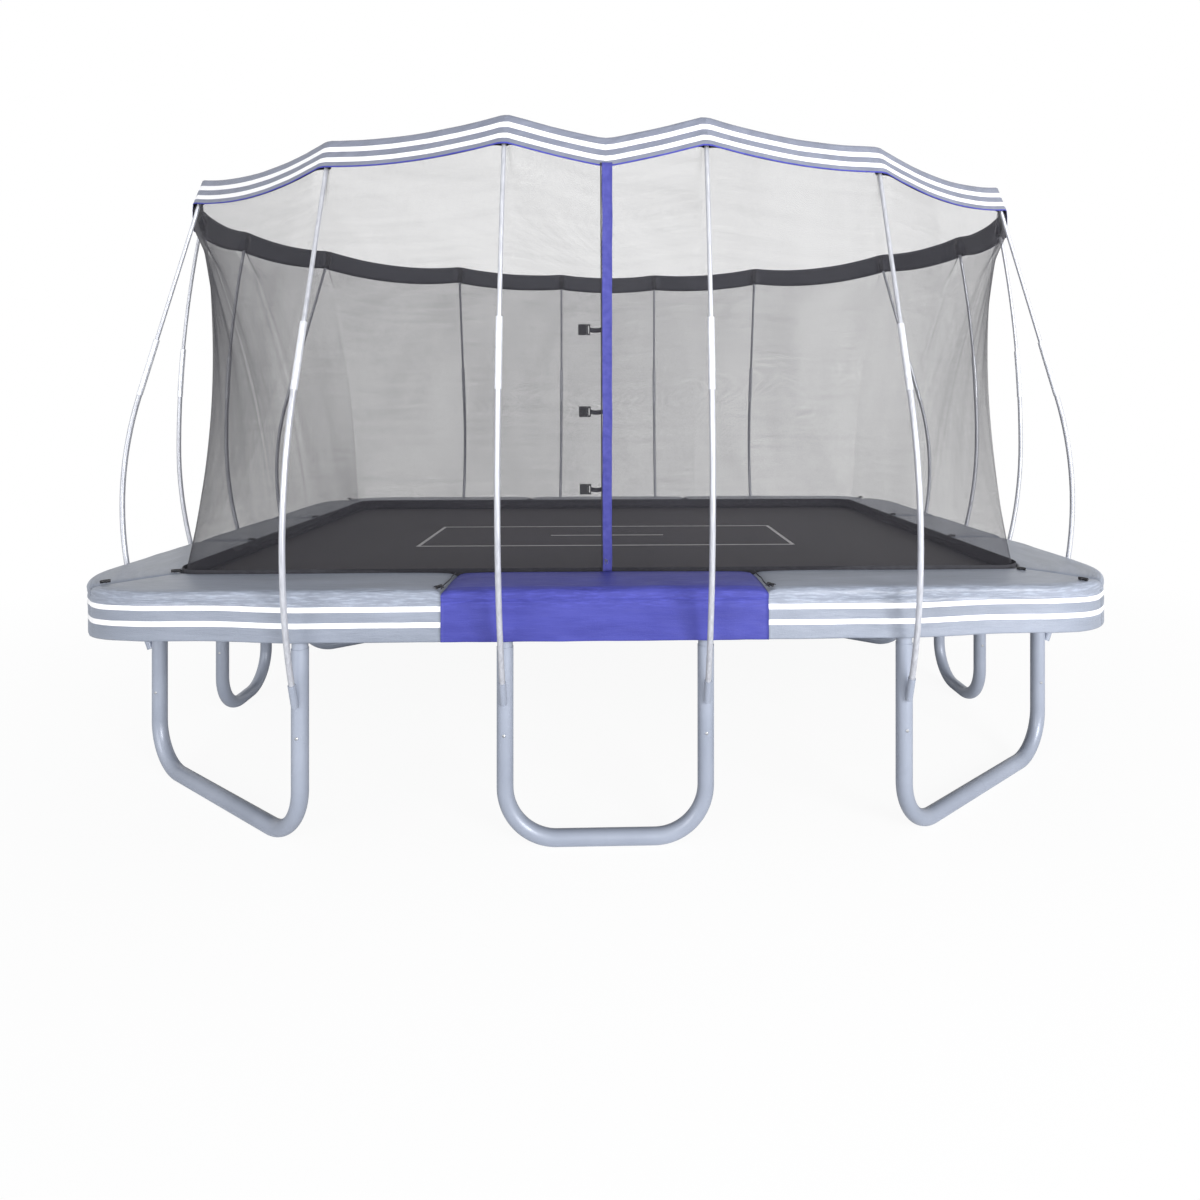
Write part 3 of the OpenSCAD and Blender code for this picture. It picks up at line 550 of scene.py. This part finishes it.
def pad(name, s_from, s_to, nodes, top=PAD_GREY, stripe=PAD_WHITE, grow=0.0):
    """A pad section between two places along the rail."""
    loop = pad_profile()
    count = max(8, int((s_to - s_from) / 0.014))
    runs = [0.0]
    for a, b in zip(loop, loop[1:]):
        runs.append(runs[-1] + math.dist(a[:2], b[:2]))
    points, uvs = [], []
    for c in range(count + 1):
        s = s_from + (s_to - s_from) * c / count
        near = min(s - s_from, s_to - s)
        pinch = 1 - 0.55 * math.exp(-near / 0.012)
        for (d, z, part), run in zip(loop, runs):
            out, lift = pad_shift(s, d, z, part, (s_from, s_to), 0.003 + grow)
            if part in ("top", "fold", "edge"):
                z = PAD_BOTTOM + (z - PAD_BOTTOM) * pinch
            if part != "under":
                out += grow
            p = rail_path(s, d + out)[0]
            points.append((p[0], p[1], z + lift))
            uvs.append((s, run))
    size = len(loop)
    faces, slots = [], []
    for c in range(count):
        for k in range(size):
            k2 = (k + 1) % size
            faces.append((c * size + k, (c + 1) * size + k, (c + 1) * size + k2, c * size + k2))
            a, b = loop[k], loop[k2]
            middle = (a[1] + b[1]) / 2
            on_skirt = a[2] == "skirt" and b[2] == "skirt"
            in_stripe = STRIPE_EDGES[1] < middle < STRIPE_EDGES[0] or STRIPE_EDGES[3] < middle < STRIPE_EDGES[2]
            slots.append(1 if on_skirt and in_stripe else 2 if a[2] in ("inside", "under") else 0)
    faces.append(tuple(reversed(range(size))))
    faces.append(tuple(range(count * size, (count + 1) * size)))
    slots += [0, 0]
    o = mesh_piece(name, points, faces, [top, stripe, PAD_UNDER], slots, uvs)
    ride(o)
    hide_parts(*nodes)
    return o


SEAM = 0.0003
SIDE_SEAM = 0.41
BACK_SEAM = 0.60


def all_pads():
    pad("pad_front_centre_cover", -BLUE_HALF, BLUE_HALF, ["pad_front_centre"], PAD_BLUE, PAD_BLUE, 0.004)
    pad("pad_front_right_cover", BLUE_HALF + SEAM, CORNER_MID - SEAM, ["pad_front_right"])
    pad("pad_front_left_cover", SEAM - CORNER_MID, -BLUE_HALF - SEAM, ["pad_front_left"])
    for label, middle in (("right", SIDE_MID), ("left", SIDE_MID + BACK_MID)):
        cuts = [CORNER_MID, SIDE_MID - SIDE_SEAM, SIDE_MID + SIDE_SEAM, BACK_MID - CORNER_MID]
        for i, (a, b) in enumerate(zip(cuts, cuts[1:])):
            shift = middle - SIDE_MID
            pad(f"pad_{label}_cover_{i + 1}", a + shift + SEAM, b + shift - SEAM, [f"pad_{label}"])
    cuts = [BACK_MID - CORNER_MID, BACK_MID - BACK_SEAM, BACK_MID + BACK_SEAM, BACK_MID + CORNER_MID]
    for i, (a, b) in enumerate(zip(cuts, cuts[1:])):
        pad(f"pad_back_cover_{i + 1}", a + SEAM, b - SEAM, ["pad_back"])


all_pads()

# ---------------------------------------------------------------- net, band


def pole_tip(node):
    """Centre of a pole's upper end."""
    co = np.array([v.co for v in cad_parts[node].data.vertices])
    return co[co[:, 2] > co[:, 2].max() - 0.006].mean(0)


TIPS = sorted((pole_tip(f"pole_{side}_{i}") for side in ("front", "right", "back", "left") for i in (1, 2, 3, 4)),
              key=lambda p: (math.atan2(p[0], -p[1])) % (2 * math.pi))
TIP_X = TIPS[0][0]
SIDE_TIP_Y = abs(min((t for t in TIPS if t[0] > 0), key=lambda t: abs(t[1]))[1])
FOOT_S = [TIP_X, STRAIGHT_X, STRAIGHT_X + CORNER_ARC, SIDE_MID - SIDE_TIP_Y]
FOOT_S += [2 * SIDE_MID - s for s in reversed(FOOT_S)]
FOOT_S += [BACK_MID + s for s in FOOT_S]
SPANS = len(TIPS)
SPAN_LENGTHS = [float(np.linalg.norm((TIPS[(i + 1) % SPANS] - TIPS[i])[:2])) for i in range(SPANS)]
DOOR_SPAN = SPANS - 1
SAGS = [BAND_SAG] * SPANS
for corner_span in (1, 5, 9, 13):
    SAGS[corner_span] = CORNER_SAG
SAGS[DOOR_SPAN] = DOOR_SAG


def around(t):
    """Plan point of the tips' polygon and the rail position under it, at t in 0..16 from the first tip right
    of the door."""
    i = int(t) % SPANS
    f = t - int(t)
    a, b = TIPS[i], TIPS[(i + 1) % SPANS]
    s_a, s_b = FOOT_S[i], FOOT_S[(i + 1) % SPANS]
    if s_b < s_a:
        s_b += PERIMETER
    return (1 - f) * a[:2] + f * b[:2], s_a + f * (s_b - s_a)


def tip_distance(t):
    f = t - int(t)
    return min(f, 1 - f) * SPAN_LENGTHS[int(t) % SPANS]


def drop(t):
    """How far the band hangs below its tips, with a short flat over each tip."""
    i = int(t) % SPANS
    flat = TIP_FLAT / SPAN_LENGTHS[i]
    g = np.clip((t - int(t) - flat) / (1 - 2 * flat), 0, 1)
    round_share = 4 * g * (1 - g)
    if i == DOOR_SPAN:
        # The door strip pulls this span down to a point
        return SAGS[i] * (0.8 * max(0.0, 1.0 - math.hypot(2 * g - 1, 0.05)) + 0.2 * round_share)
    return SAGS[i] * round_share


def drawn_in(p, d):
    return p * (1 - d / HALF_Y)


def band_point(t, z, d):
    """A point beside the tips, z above the band's lower edge, on a wall that slopes like the poles."""
    p = drawn_in(around(t)[0], d + z * BAND_SLOPE)
    return np.array([p[0], p[1], BAND_LOW + z - drop(t)])


def wall(t, v, top_d, bow=0.0):
    """A point of the net, v from 0 at its foot to 1 at the band. It draws in by bow half way up, except beside
    the door."""
    top, s = around(t)
    foot = rail_path(s, NET_D)[0]
    p = foot + (drawn_in(top, top_d) - foot) * v
    share = np.clip((abs(p[0]) - DOOR_FLAT) / (TIP_X - DOOR_FLAT), 0, 1)
    p = drawn_in(p, bow * share * math.sin(math.pi * v))
    return np.array([p[0], p[1], NET_FOOT + (BAND_LOW - drop(t) - NET_FOOT) * v])


def foot_tape():
    """The black tape at the net's foot. It stands a little above the pad."""
    columns = 420
    heights = (MAT_Z + 0.003, (MAT_Z + PAD_TOP) / 2, PAD_TOP, PAD_TOP + 0.014)
    points, uvs = [], []
    for thickness in (0.0, 0.002):
        for z in heights:
            for c in range(columns + 1):
                s = PERIMETER * c / columns
                p = rail_path(s, PAD_IN - 0.007 - thickness + 0.0015 * wave(s * 6.0, z * 8.0))[0]
                points.append((p[0], p[1], z))
                uvs.append((s, z))
    faces = double_faces(len(heights), columns + 1)
    return ride(mesh_piece("net_foot_tape", points, faces, [HEM], uvs=uvs))


def net_wall(t, v):
    """The net's surface. Near its top it comes to lie behind the band."""
    loose = 0.018 * math.exp(-((tip_distance(t) / 0.10) ** 2)) - 0.012
    top_d = loose + (net_depth(t, 0.0) - loose) * smooth((v - 0.88) / 0.12)
    return wall(t, v, top_d, NET_BOW)


def net_height(z):
    """The share of the net's height that lies below z, at the door."""
    return (z - NET_FOOT) / (BAND_LOW - DOOR_SAG - NET_FOOT)


def net_piece():
    """The whole net as one cloth. Its top goes up between the band and the lining."""
    rows, tucked = 60, (0.014, 0.028, 0.042)
    t_list = [t for i in range(SPANS) for t in span_stops(i)]
    columns = len(t_list)
    points, uvs = [], []
    slant = 0.0
    for r in range(rows + 1 + len(tucked)):
        v = min(1.0, r / rows)
        z = tucked[r - rows - 1] if r > rows else 0.0
        free = math.sin(math.pi * v)
        high = math.sin(math.pi * smooth((v - 0.5) / 0.5))
        run = 0.0
        for c in range(columns + 1):
            t = t_list[c % columns]
            p = band_point(t, z, net_depth(t, z)) if z else net_wall(t, v)
            depth = 0.004 * free * wave(t * 2.3, v * 1.2, 4.0) + 0.003 * free * wave(t * 9.0, v * 2.0, 8.0)
            depth += 0.003 * high * wave(t * 16.0, v * 1.0, 17.0)
            p[:2] = drawn_in(p[:2], depth)
            if c:
                run += math.dist(p, points[-1])
            if c == 0 and r:
                slant += math.dist(p, points[-columns - 1])
            points.append(p)
            uvs.append((run, slant))
    count = rows + 1 + len(tucked)
    o = mesh_piece("net_cloth", points, grid_faces(count, columns + 1), [NET], uvs=uvs)
    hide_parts("net_front", "net_back", "net_left", "net_right")
    ride(o)
    top, foot = sum(SPAN_LENGTHS), PERIMETER + 2 * math.pi * NET_D
    return o, (top, slant), (top + foot) / 2 * slant


def double_faces(rows, columns, ends=False):
    """Faces of a thin cloth: an outer and an inner grid of points, and the rim between."""
    outer = grid_faces(rows, columns)
    base = rows * columns
    faces = outer + [tuple(i + base for i in reversed(f)) for f in outer]
    last = (rows - 1) * columns
    for c in range(columns - 1):
        faces.append((c + 1, c, base + c, base + c + 1))
        faces.append((last + c, last + c + 1, base + last + c + 1, base + last + c))
    for r in range(rows - 1 if ends else 0):
        a, b = r * columns, (r + 1) * columns
        faces.append((a, b, base + b, base + a))
        faces.append((b + columns - 1, a + columns - 1, base + a + columns - 1, base + b + columns - 1))
    return faces


def cloth_band(name, t_list, heights, slots, depth, materials, thickness=0.0012, ripple=0.0):
    """A strip of cloth round the tips. depth gives its distance inside them at t and z."""
    points, uvs = [], []
    for face in (0, 1):
        for z in heights:
            run = 0.0
            for c, t in enumerate(t_list):
                loose = ripple * min(1.0, tip_distance(t) / 0.08)
                out = loose * (0.8 + 0.8 * wave(t * 7.0, z * 14.0, 2.0) + 0.4 * wave(t * 23.0, z * 34.0, 6.0))
                p = band_point(t, z, depth(t, z) + face * thickness - out)
                p[2] += 0.4 * loose * wave(t * 5.0, 1.0, 12.0)
                if c:
                    run += math.dist(p, points[-1])
                points.append(p)
                uvs.append((run, z + 0.2 * face))
    count = len(t_list) - 1
    outer = [slots[i // count] for i in range(count * (len(heights) - 1))]
    face_slots = outer + [len(materials) - 1] * len(outer) + [slots[0], slots[-1]] * count
    return mesh_piece(name, points, double_faces(len(heights), len(t_list)), materials, face_slots, uvs)


def span_stops(i):
    """Values of t over one span, close together beside its tips."""
    length = SPAN_LENGTHS[i]
    near = [0, 0.006, 0.012, 0.018, 0.025, 0.034, 0.046, 0.062]
    middle = list(np.linspace(0.085, length - 0.085, round((length - 0.17) / 0.028)))
    return [i + x / length for x in near + middle + [length - x for x in reversed(near[1:])]]


# Heights of the band's colours above its lower edge, as shares, with the slots between: piping, grey, white
BAND_STOPS = (0.0, 0.055, 0.13, 0.20, 0.29, 0.37, 0.44, 0.51, 0.58, 0.67, 0.76, 0.84, 0.92, 1.0)
BAND_SLOTS = (0, 1, 1, 2, 2, 1, 1, 1, 2, 2, 1, 1, 1)


def lining_depth(t, z):
    """The lining lies against the band and passes inside each pole's tip."""
    pocket = math.exp(-((tip_distance(t) / 0.026) ** 2)) * (1 - smooth((z - 0.050) / (BAND_H - 0.050)))
    return BAND_D + LINING_GAP * (1 - 0.6 * z / BAND_H) + POCKET_DEPTH * pocket


def net_depth(t, z):
    return lining_depth(t, z) - 0.002


def band():
    t_list = [t for i in range(SPANS) for t in span_stops(i)] + [float(SPANS)]
    heights = [share * BAND_H for share in BAND_STOPS]
    outer = cloth_band("band_outer", t_list, heights, BAND_SLOTS, lambda t, z: BAND_D,
                       [PIPING, BAND_GREY, BAND_WHITE, BAND_BLACK], ripple=0.0025)
    rows = [0.002, 0.02, 0.045, 0.06, 0.08, 0.1, BAND_H - 0.006]
    inner = cloth_band("band_inner", t_list, rows, [0] * 6, lining_depth, [BAND_BLACK, BAND_BLACK])
    pockets = []
    for i in range(SPANS):
        before, after = POCKET_HALF / SPAN_LENGTHS[i - 1], POCKET_HALF / SPAN_LENGTHS[i]
        start = i or SPANS
        left = [start - before * k / 4 for k in (4, 3, 2, 1)]
        right = [i + after * k / 4 for k in (0, 1, 2, 3, 4)]
        pockets.append(cloth_band(f"band_pocket_{i + 1}", left + right, [0.005] + rows[1:], [0] * 6,
                                  lambda t, z: lining_depth(t, z) + POCKET_GAP, [POCKET, POCKET]))
    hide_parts("top_band")
    for o in [outer, inner] + pockets:
        ride(o)


band()

# ---------------------------------------------------------------------- mat

MAT_GAP = 0.250
MAT_X = HALF_X - MAT_GAP
MAT_Y = HALF_Y - MAT_GAP
MAT_R = CORNER_R - MAT_GAP
MAT_HALF_T = 0.0015
LINE_X, LINE_Y, LINE_W, CENTRE_X = 1.02, 0.33, 0.020, 0.33
HEM_W = 0.045
MAT_STEP = 0.08


def axis_stops(half, extra, step):
    """Grid lines from -half to half that include the extra ones and their mirror images."""
    fixed = sorted({-half, 0.0, half} | {k * e for e in extra for k in (-1, 1)})
    stops = []
    for a, b in zip(fixed, fixed[1:]):
        stops += list(np.linspace(a, b, max(1, round((b - a) / step)) + 1))[:-1]
    return stops + [half]


def rounded(x, y):
    """Draws a rectangle's corner in to the mat's round one."""
    a, b = abs(x) - (MAT_X - MAT_R), abs(y) - (MAT_Y - MAT_R)
    if a > 0 and b > 0:
        k = max(a, b) / math.hypot(a, b)
        return (math.copysign(MAT_X - MAT_R + a * k, x), math.copysign(MAT_Y - MAT_R + b * k, y))
    return x, y


def mat_slot(x, y):
    """0 weave, 1 line, 2 hem at a plan point of the unrounded mat."""
    if MAT_X - abs(x) < HEM_W or MAT_Y - abs(y) < HEM_W:
        return 2
    on_side = abs(abs(x) - LINE_X) < LINE_W / 2 and abs(y) < LINE_Y + LINE_W / 2
    on_long = abs(abs(y) - LINE_Y) < LINE_W / 2 and abs(x) < LINE_X + LINE_W / 2
    on_centre = abs(y) < LINE_W / 2 and abs(x) < CENTRE_X
    return 1 if on_side or on_long or on_centre else 0


# Each side's outward direction
REGIONS = {"front": (0, -1), "back": (0, 1), "left": (-1, 0), "right": (1, 0)}


def region_of(x, y):
    """The side whose rail is nearest."""
    gaps = {"front": HALF_Y + y, "back": HALF_Y - y, "left": HALF_X + x, "right": HALF_X - x}
    return min(gaps, key=gaps.get)


def bounce_blend(o):
    """Bakes the piece's placement into its mesh."""
    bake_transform(o)


def mat_pieces():
    half_w = LINE_W / 2
    xs = axis_stops(MAT_X, [LINE_X - half_w, LINE_X + half_w, CENTRE_X, MAT_X - HEM_W, MAT_X - MAT_R], MAT_STEP)
    ys = axis_stops(MAT_Y, [LINE_Y - half_w, LINE_Y + half_w, half_w, MAT_Y - HEM_W, MAT_Y - MAT_R], MAT_STEP)
    for side, n in REGIONS.items():
        bm = bmesh.new()
        grid = [[bm.verts.new((x, y, 0)) for x in xs] for y in ys]
        for j in range(len(ys) - 1):
            for i in range(len(xs) - 1):
                face = bm.faces.new((grid[j][i], grid[j][i + 1], grid[j + 1][i + 1], grid[j + 1][i]))
                face.material_index = mat_slot((xs[i] + xs[i + 1]) / 2, (ys[j] + ys[j + 1]) / 2)
        # Cut along the lines of equal distance to two rails, and along the long middle line
        cuts = []
        for sx, sy in ((1, 1), (-1, 1), (-1, -1), (1, -1)):
            corner = Vector((sx * HALF_X, sy * HALF_Y, 0))
            if n[0] == 0 and sy == n[1]:
                cuts.append((corner, Vector((sx, -sy, 0))))
            if n[1] == 0 and sx == n[0]:
                cuts.append((corner, Vector((-sx, sy, 0))))
        if n[0] == 0:
            cuts.append((Vector((0, 0, 0)), Vector((0, -n[1], 0))))
        for point, normal in cuts:
            everything = bm.verts[:] + bm.edges[:] + bm.faces[:]
            bmesh.ops.bisect_plane(bm, geom=everything, plane_co=point, plane_no=normal, clear_outer=True)
        bm.verts.ensure_lookup_table()
        points = [rounded(v.co.x, v.co.y) for v in bm.verts]
        faces = [[v.index for v in f.verts] for f in bm.faces]
        slots = [f.material_index for f in bm.faces]
        rim = [[v.index for v in e.verts] for e in bm.edges if len(e.link_faces) == 1]
        count = len(points)
        both = [(x, y, MAT_Z + MAT_HALF_T) for x, y in points] + [(x, y, MAT_Z - MAT_HALF_T) for x, y in points]
        all_faces = faces + [[i + count for i in reversed(f)] for f in faces]
        all_slots = slots + slots
        for a, b in rim:
            all_faces.append([a, b, b + count, a + count])
            all_slots.append(2)
        area = sum(f.calc_area() for f in bm.faces)
        bm.free()
        o = mesh_piece(f"mat_{side}", both, all_faces, [MAT, MAT_LINE, HEM], all_slots, [p[:2] for p in both],
                       smooth_faces=False)
        normals = bmesh.new()
        normals.from_mesh(o.data)
        bmesh.ops.recalc_face_normals(normals, faces=normals.faces)
        normals.to_mesh(o.data)
        normals.free()
        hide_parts("mat")
        bounce_blend(o)


mat_pieces()

# ------------------------------------------------------------------ springs

SPRINGS_LONG, SPRINGS_SHORT, SPRINGS_CORNER = 26, 16, 5
COIL_START = 0.050
COIL_LENGTH = 0.140
COIL_R = 0.0075
WIRE_R = 0.0015
RING_REACH = 0.026
RING_WIRE_R = 0.002


def spring_places():
    """Rail point and inward direction of every spring, in plan."""
    for s in (-1, 1):
        for i in range(SPRINGS_LONG):
            yield (STRAIGHT_X * (2 * (i + 0.5) / SPRINGS_LONG - 1), s * HALF_Y), (0, -s)
        for i in range(SPRINGS_SHORT):
            yield (s * HALF_X, STRAIGHT_Y * (2 * (i + 0.5) / SPRINGS_SHORT - 1)), (-s, 0)
    for sx in (-1, 1):
        for sy in (-1, 1):
            for i in range(SPRINGS_CORNER):
                a = math.radians(90 * (i + 0.5) / SPRINGS_CORNER)
                n = (sx * math.cos(a), sy * math.sin(a))
                yield ((sx * STRAIGHT_X + CORNER_R * n[0], sy * STRAIGHT_Y + CORNER_R * n[1]), (-n[0], -n[1]))


def spring_path():
    """One spring's wire, from its rail hook through the coil to its ring hook, along +X."""
    path = [(RAIL_R - 0.004, 0, -0.012), (RAIL_R + 0.001, 0, -0.004), (0.040, 0, 0.0),
            (COIL_START - 0.004, 0, 0.0)]
    turns, steps = 21, 7
    for k in range(turns * steps + 1):
        a = 2 * math.pi * k / steps
        path.append((COIL_START + COIL_LENGTH * k / (turns * steps), COIL_R * math.cos(a), COIL_R * math.sin(a)))
    end = COIL_START + COIL_LENGTH
    reach = MAT_GAP - RING_REACH
    path += [(end + 0.005, 0, 0.0), (reach, 0, 0.003), (reach + 0.010, 0, 0.0), (reach + 0.006, 0, -0.006)]
    return np.array(path)


def springs_and_rings():
    coil = spring_path()
    a, b = MAT_GAP - RING_REACH + 0.004, MAT_GAP + 0.004
    ring = np.array([(a, -0.004, 0), (a, 0.004, 0), (b - 0.003, 0.012, 0), (b, 0.011, 0), (b, -0.011, 0),
                     (b - 0.003, -0.012, 0)])
    wires = {side: [] for side in REGIONS}
    rings = {side: [] for side in REGIONS}
    for (x, y), (dx, dy) in spring_places():
        side = region_of(x, y)
        turn = np.array([[dx, dy, 0], [-dy, dx, 0], [0, 0, 1]])
        place = np.array([x, y, MAT_Z])
        wires[side].append(coil @ turn + place)
        rings[side].append(ring @ turn + place)
    for side in REGIONS:
        for label, paths, radius, closed, node in (
            ("springs", wires[side], WIRE_R, False, "springs"),
            ("rings", rings[side], RING_WIRE_R, True, "mat_rings"),
        ):
            parts = [tube(f"{label}_{side}_{i}", p, radius, ZINC, 5, closed) for i, p in enumerate(paths)]
            with bpy.context.temp_override(active_object=parts[0], selected_editable_objects=parts):
                bpy.ops.object.join()
            o = parts[0]
            o.name = f"{label}_{side}"
            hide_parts(node)
            bounce_blend(o)


springs_and_rings()

# --------------------------------------------------------------------- door


ZIP_R = 0.0028


def door_strip():
    """The zip's covering strip, from the band down to the pad, with a raised edge on each side."""
    low = net_height(DOOR_FOOT)
    high = 1.008
    half = DOOR_HALF
    across = [-half, -half + 0.002, -half + 0.004, -0.006, 0.006, half - 0.004, half - 0.002, half]
    proud = [0.001, 0.0045, 0.003, 0.0034, 0.0034, 0.003, 0.0045, 0.001]
    rows = 90
    points, uvs = [], []
    base = [net_wall(DOOR_SPAN + 0.5, low + (high - low) * r / rows) for r in range(rows + 1)]
    for r, p in enumerate(base):
        wander = 0.002 * wave(r * 0.12, 5.0)
        for x, y in zip(across, proud):
            points.append((DOOR_X + x + wander, p[1] - y - 0.0025 - 0.0008 * wave(r * 0.5, x * 60), p[2]))
            uvs.append((x, r * 0.018))
        for x in reversed(across):
            points.append((DOOR_X + x + wander, p[1] - 0.0010, p[2]))
            uvs.append((x, r * 0.018))
    size = 2 * len(across)
    faces = [tuple(reversed(f)) for f in grid_faces(rows + 1, size, wrap_columns=True)]
    faces += [tuple(range(size)), tuple(reversed(range(rows * size, (rows + 1) * size)))]
    o = mesh_piece("door_strip", points, faces, [DOOR_BLUE], uvs=uvs)
    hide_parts("door_placket")
    ride(o)
    zip_path = [(DOOR_X - half - 0.003, p[1] - 0.003, p[2]) for p in base]
    return [o, ride(tube("zip_tape", zip_path, ZIP_R, HEM, 6))]


def hung_net():
    net, flat, area = net_piece()
    [foot_tape()] + door_strip()


hung_net()

# ------------------------------------------------------------ small fittings

# Plan points and headings, in degrees, of the toggles that close the pad's seams
TOGGLES = ((-1.98, -1.375, 45), (-1.815, -1.185, 20), (1.915, -1.45, -60), (1.775, -1.25, -45),
           (-0.640, -1.505, 70), (0.640, -1.505, 110), (-1.98, 1.375, -45), (-1.815, 1.185, -20),
           (1.98, 1.375, 45), (1.815, 1.185, 20), (-1.865, -0.417, 0), (-1.865, 0.417, 0),
           (1.865, -0.417, 0), (1.865, 0.417, 0), (-0.594, 1.302, 90), (0.594, 1.302, 90))


TOGGLE_HALF, TOGGLE_R = 0.017, 0.0065
LOOP_HALF, LOOP_R = 0.022, 0.0022
CORD_R = 0.0026


def toggles():
    """Short black bars on the pad, each held by a stitched elastic loop across the seam."""
    for i, (x, y, heading) in enumerate(TOGGLES, 1):
        ax, ay = math.cos(math.radians(heading)), math.sin(math.radians(heading))
        z = PAD_TOP + 0.006
        bar = [(x + k * ax, y + k * ay, z + 0.001 * (1 - (k / TOGGLE_HALF) ** 2))
               for k in (-TOGGLE_HALF, -0.012, 0.0, 0.012, TOGGLE_HALF)]
        ride(tube(f"toggle_{i}", bar, TOGGLE_R, PLASTIC, 10))
        loop = [(x - ay * k, y + ax * k, z + 0.004 - 0.006 * (k / LOOP_HALF) ** 2)
                for k in np.linspace(-LOOP_HALF, LOOP_HALF, 9)]
        ride(tube(f"toggle_loop_{i}", loop, LOOP_R, HEM, 6))


def seam_cords():
    """The black elastic along each end of the blue section."""
    for label, side in (("left", -1), ("right", 1)):
        x = side * (BLUE_HALF + 0.003)
        path = [(x + 0.002 * math.sin(d * 40), -HALF_Y - d, PAD_TOP + 0.003 + 0.0015 * wave(d * 30, 7.0))
                for d in np.linspace(PAD_IN + 0.010, PAD_OUT - 0.012, 24)]
        ride(tube(f"seam_cord_{label}", path, CORD_R, HEM, 6))


STRAP_HALF = 0.009
STRAP_THICKNESS = 0.0016
STRAP_INSIDE = 0.008


def clip_straps():
    """The webbing from each buckle's clip to the door strip. It moves with the clip."""
    for i in (1, 2, 3):
        low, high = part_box(f"buckle_clip_{i}")
        y, z = (low.y + high.y) / 2, (low.z + high.z) / 2
        # Its free end lies just inside the net
        step = net_wall(DOOR_SPAN + 0.5, net_height(z))[1] + STRAP_INSIDE - y
        xs = np.linspace(high.x - 0.004, DOOR_X - DOOR_HALF + 0.001, 8)
        points, uvs = [], []
        for thick in (0.0, STRAP_THICKNESS):
            for k in (-STRAP_HALF, 0.0, STRAP_HALF):
                for c, x in enumerate(xs):
                    sag = 0.004 * math.sin(math.pi * c / 7)
                    points.append((x, y + thick + step * smooth(c / 5), z + k - sag))
                    uvs.append((k, x))
        o = mesh_piece(f"clip_strap_{i}", points, double_faces(3, len(xs), True), [HEM], uvs=uvs)
        ride(o, f"clip_body_{i}")


toggles()
seam_cords()
clip_straps()

# -------------------------------------------------------------------- stage


def stage():
    world = bpy.data.worlds.new("studio")
    bpy.context.scene.world = world
    world.use_nodes = True
    tree = world.node_tree
    tree.nodes.clear()
    out = tree.nodes.new("ShaderNodeOutputWorld")
    mix = tree.nodes.new("ShaderNodeMixShader")
    seen = tree.nodes.new("ShaderNodeBackground")
    light = tree.nodes.new("ShaderNodeBackground")
    seen.inputs["Color"].default_value = (1, 1, 1, 1)
    seen.inputs["Strength"].default_value = 1.0
    light.inputs["Color"].default_value = (0.97, 0.98, 1.0, 1)
    light.inputs["Strength"].default_value = 0.45
    rays = tree.nodes.new("ShaderNodeLightPath")
    share = rays.outputs["Is Camera Ray"]
    for kind in ("Is Glossy Ray", "Is Transmission Ray"):
        either = tree.nodes.new("ShaderNodeMath")
        either.operation = "MAXIMUM"
        tree.links.new(share, either.inputs[0])
        tree.links.new(rays.outputs[kind], either.inputs[1])
        share = either.outputs[0]
    tree.links.new(share, mix.inputs[0])
    tree.links.new(light.outputs[0], mix.inputs[1])
    tree.links.new(seen.outputs[0], mix.inputs[2])
    tree.links.new(mix.outputs[0], out.inputs["Surface"])

    g = Graph("floor_white")
    glow = g.add("ShaderNodeEmission", Color=(1, 1, 1, 1), Strength=1.0)
    matt = g.add("ShaderNodeBsdfDiffuse", Color=(0.93, 0.93, 0.93, 1))
    blend = g.add("ShaderNodeMixShader")
    rays = g.add("ShaderNodeLightPath")
    distance = g.add("ShaderNodeVectorMath", operation="LENGTH")
    g.link(g.object_point(), distance.inputs[0])
    near = g.range(distance.outputs["Value"], 2.5, 6.0, 0.93, 1.0)
    share = g.math("MULTIPLY", rays.outputs["Is Camera Ray"], near)
    g.link(share, blend.inputs[0])
    g.link(matt.outputs[0], blend.inputs[1])
    g.link(glow.outputs[0], blend.inputs[2])
    g.link(blend.outputs[0], g.out.inputs["Surface"])
    g.tree.nodes.remove(g.bsdf)
    reach = 30.0
    floor = mesh_piece("floor", [(-reach, -reach, 0), (reach, -reach, 0), (reach, reach, 0), (-reach, reach, 0)],
                       [(0, 1, 2, 3)], [g.material])

    for label, place, aim, size, power in (
        ("key", (4.4, -8.0, 2.8), (0.3, -1.0, 1.0), 3.5, 700),
        ("fill", (-5.0, -7.8, 2.4), (-0.5, -1.0, 1.0), 4.0, 250),
    ):
        data = bpy.data.lights.new(label, "AREA")
        data.size = size
        data.energy = power
        lamp = bpy.data.objects.new(label, data)
        lamp.location = place
        lamp.rotation_euler = (Vector(aim) - Vector(place)).to_track_quat("-Z", "Y").to_euler()
        bpy.context.scene.collection.objects.link(lamp)


def camera():
    data = bpy.data.cameras.new("view")
    data.sensor_width = 36.0
    data.lens = 22.158
    data.shift_x = -0.02667
    data.shift_y = -0.1574
    o = bpy.data.objects.new("view", data)
    o.location = (0.015, -4.359, 1.6825)
    o.rotation_euler = (math.pi / 2, 0, -0.0302)
    bpy.context.scene.collection.objects.link(o)
    bpy.context.scene.camera = o


stage()
camera()
bpy.context.scene.view_settings.view_transform = "Standard"
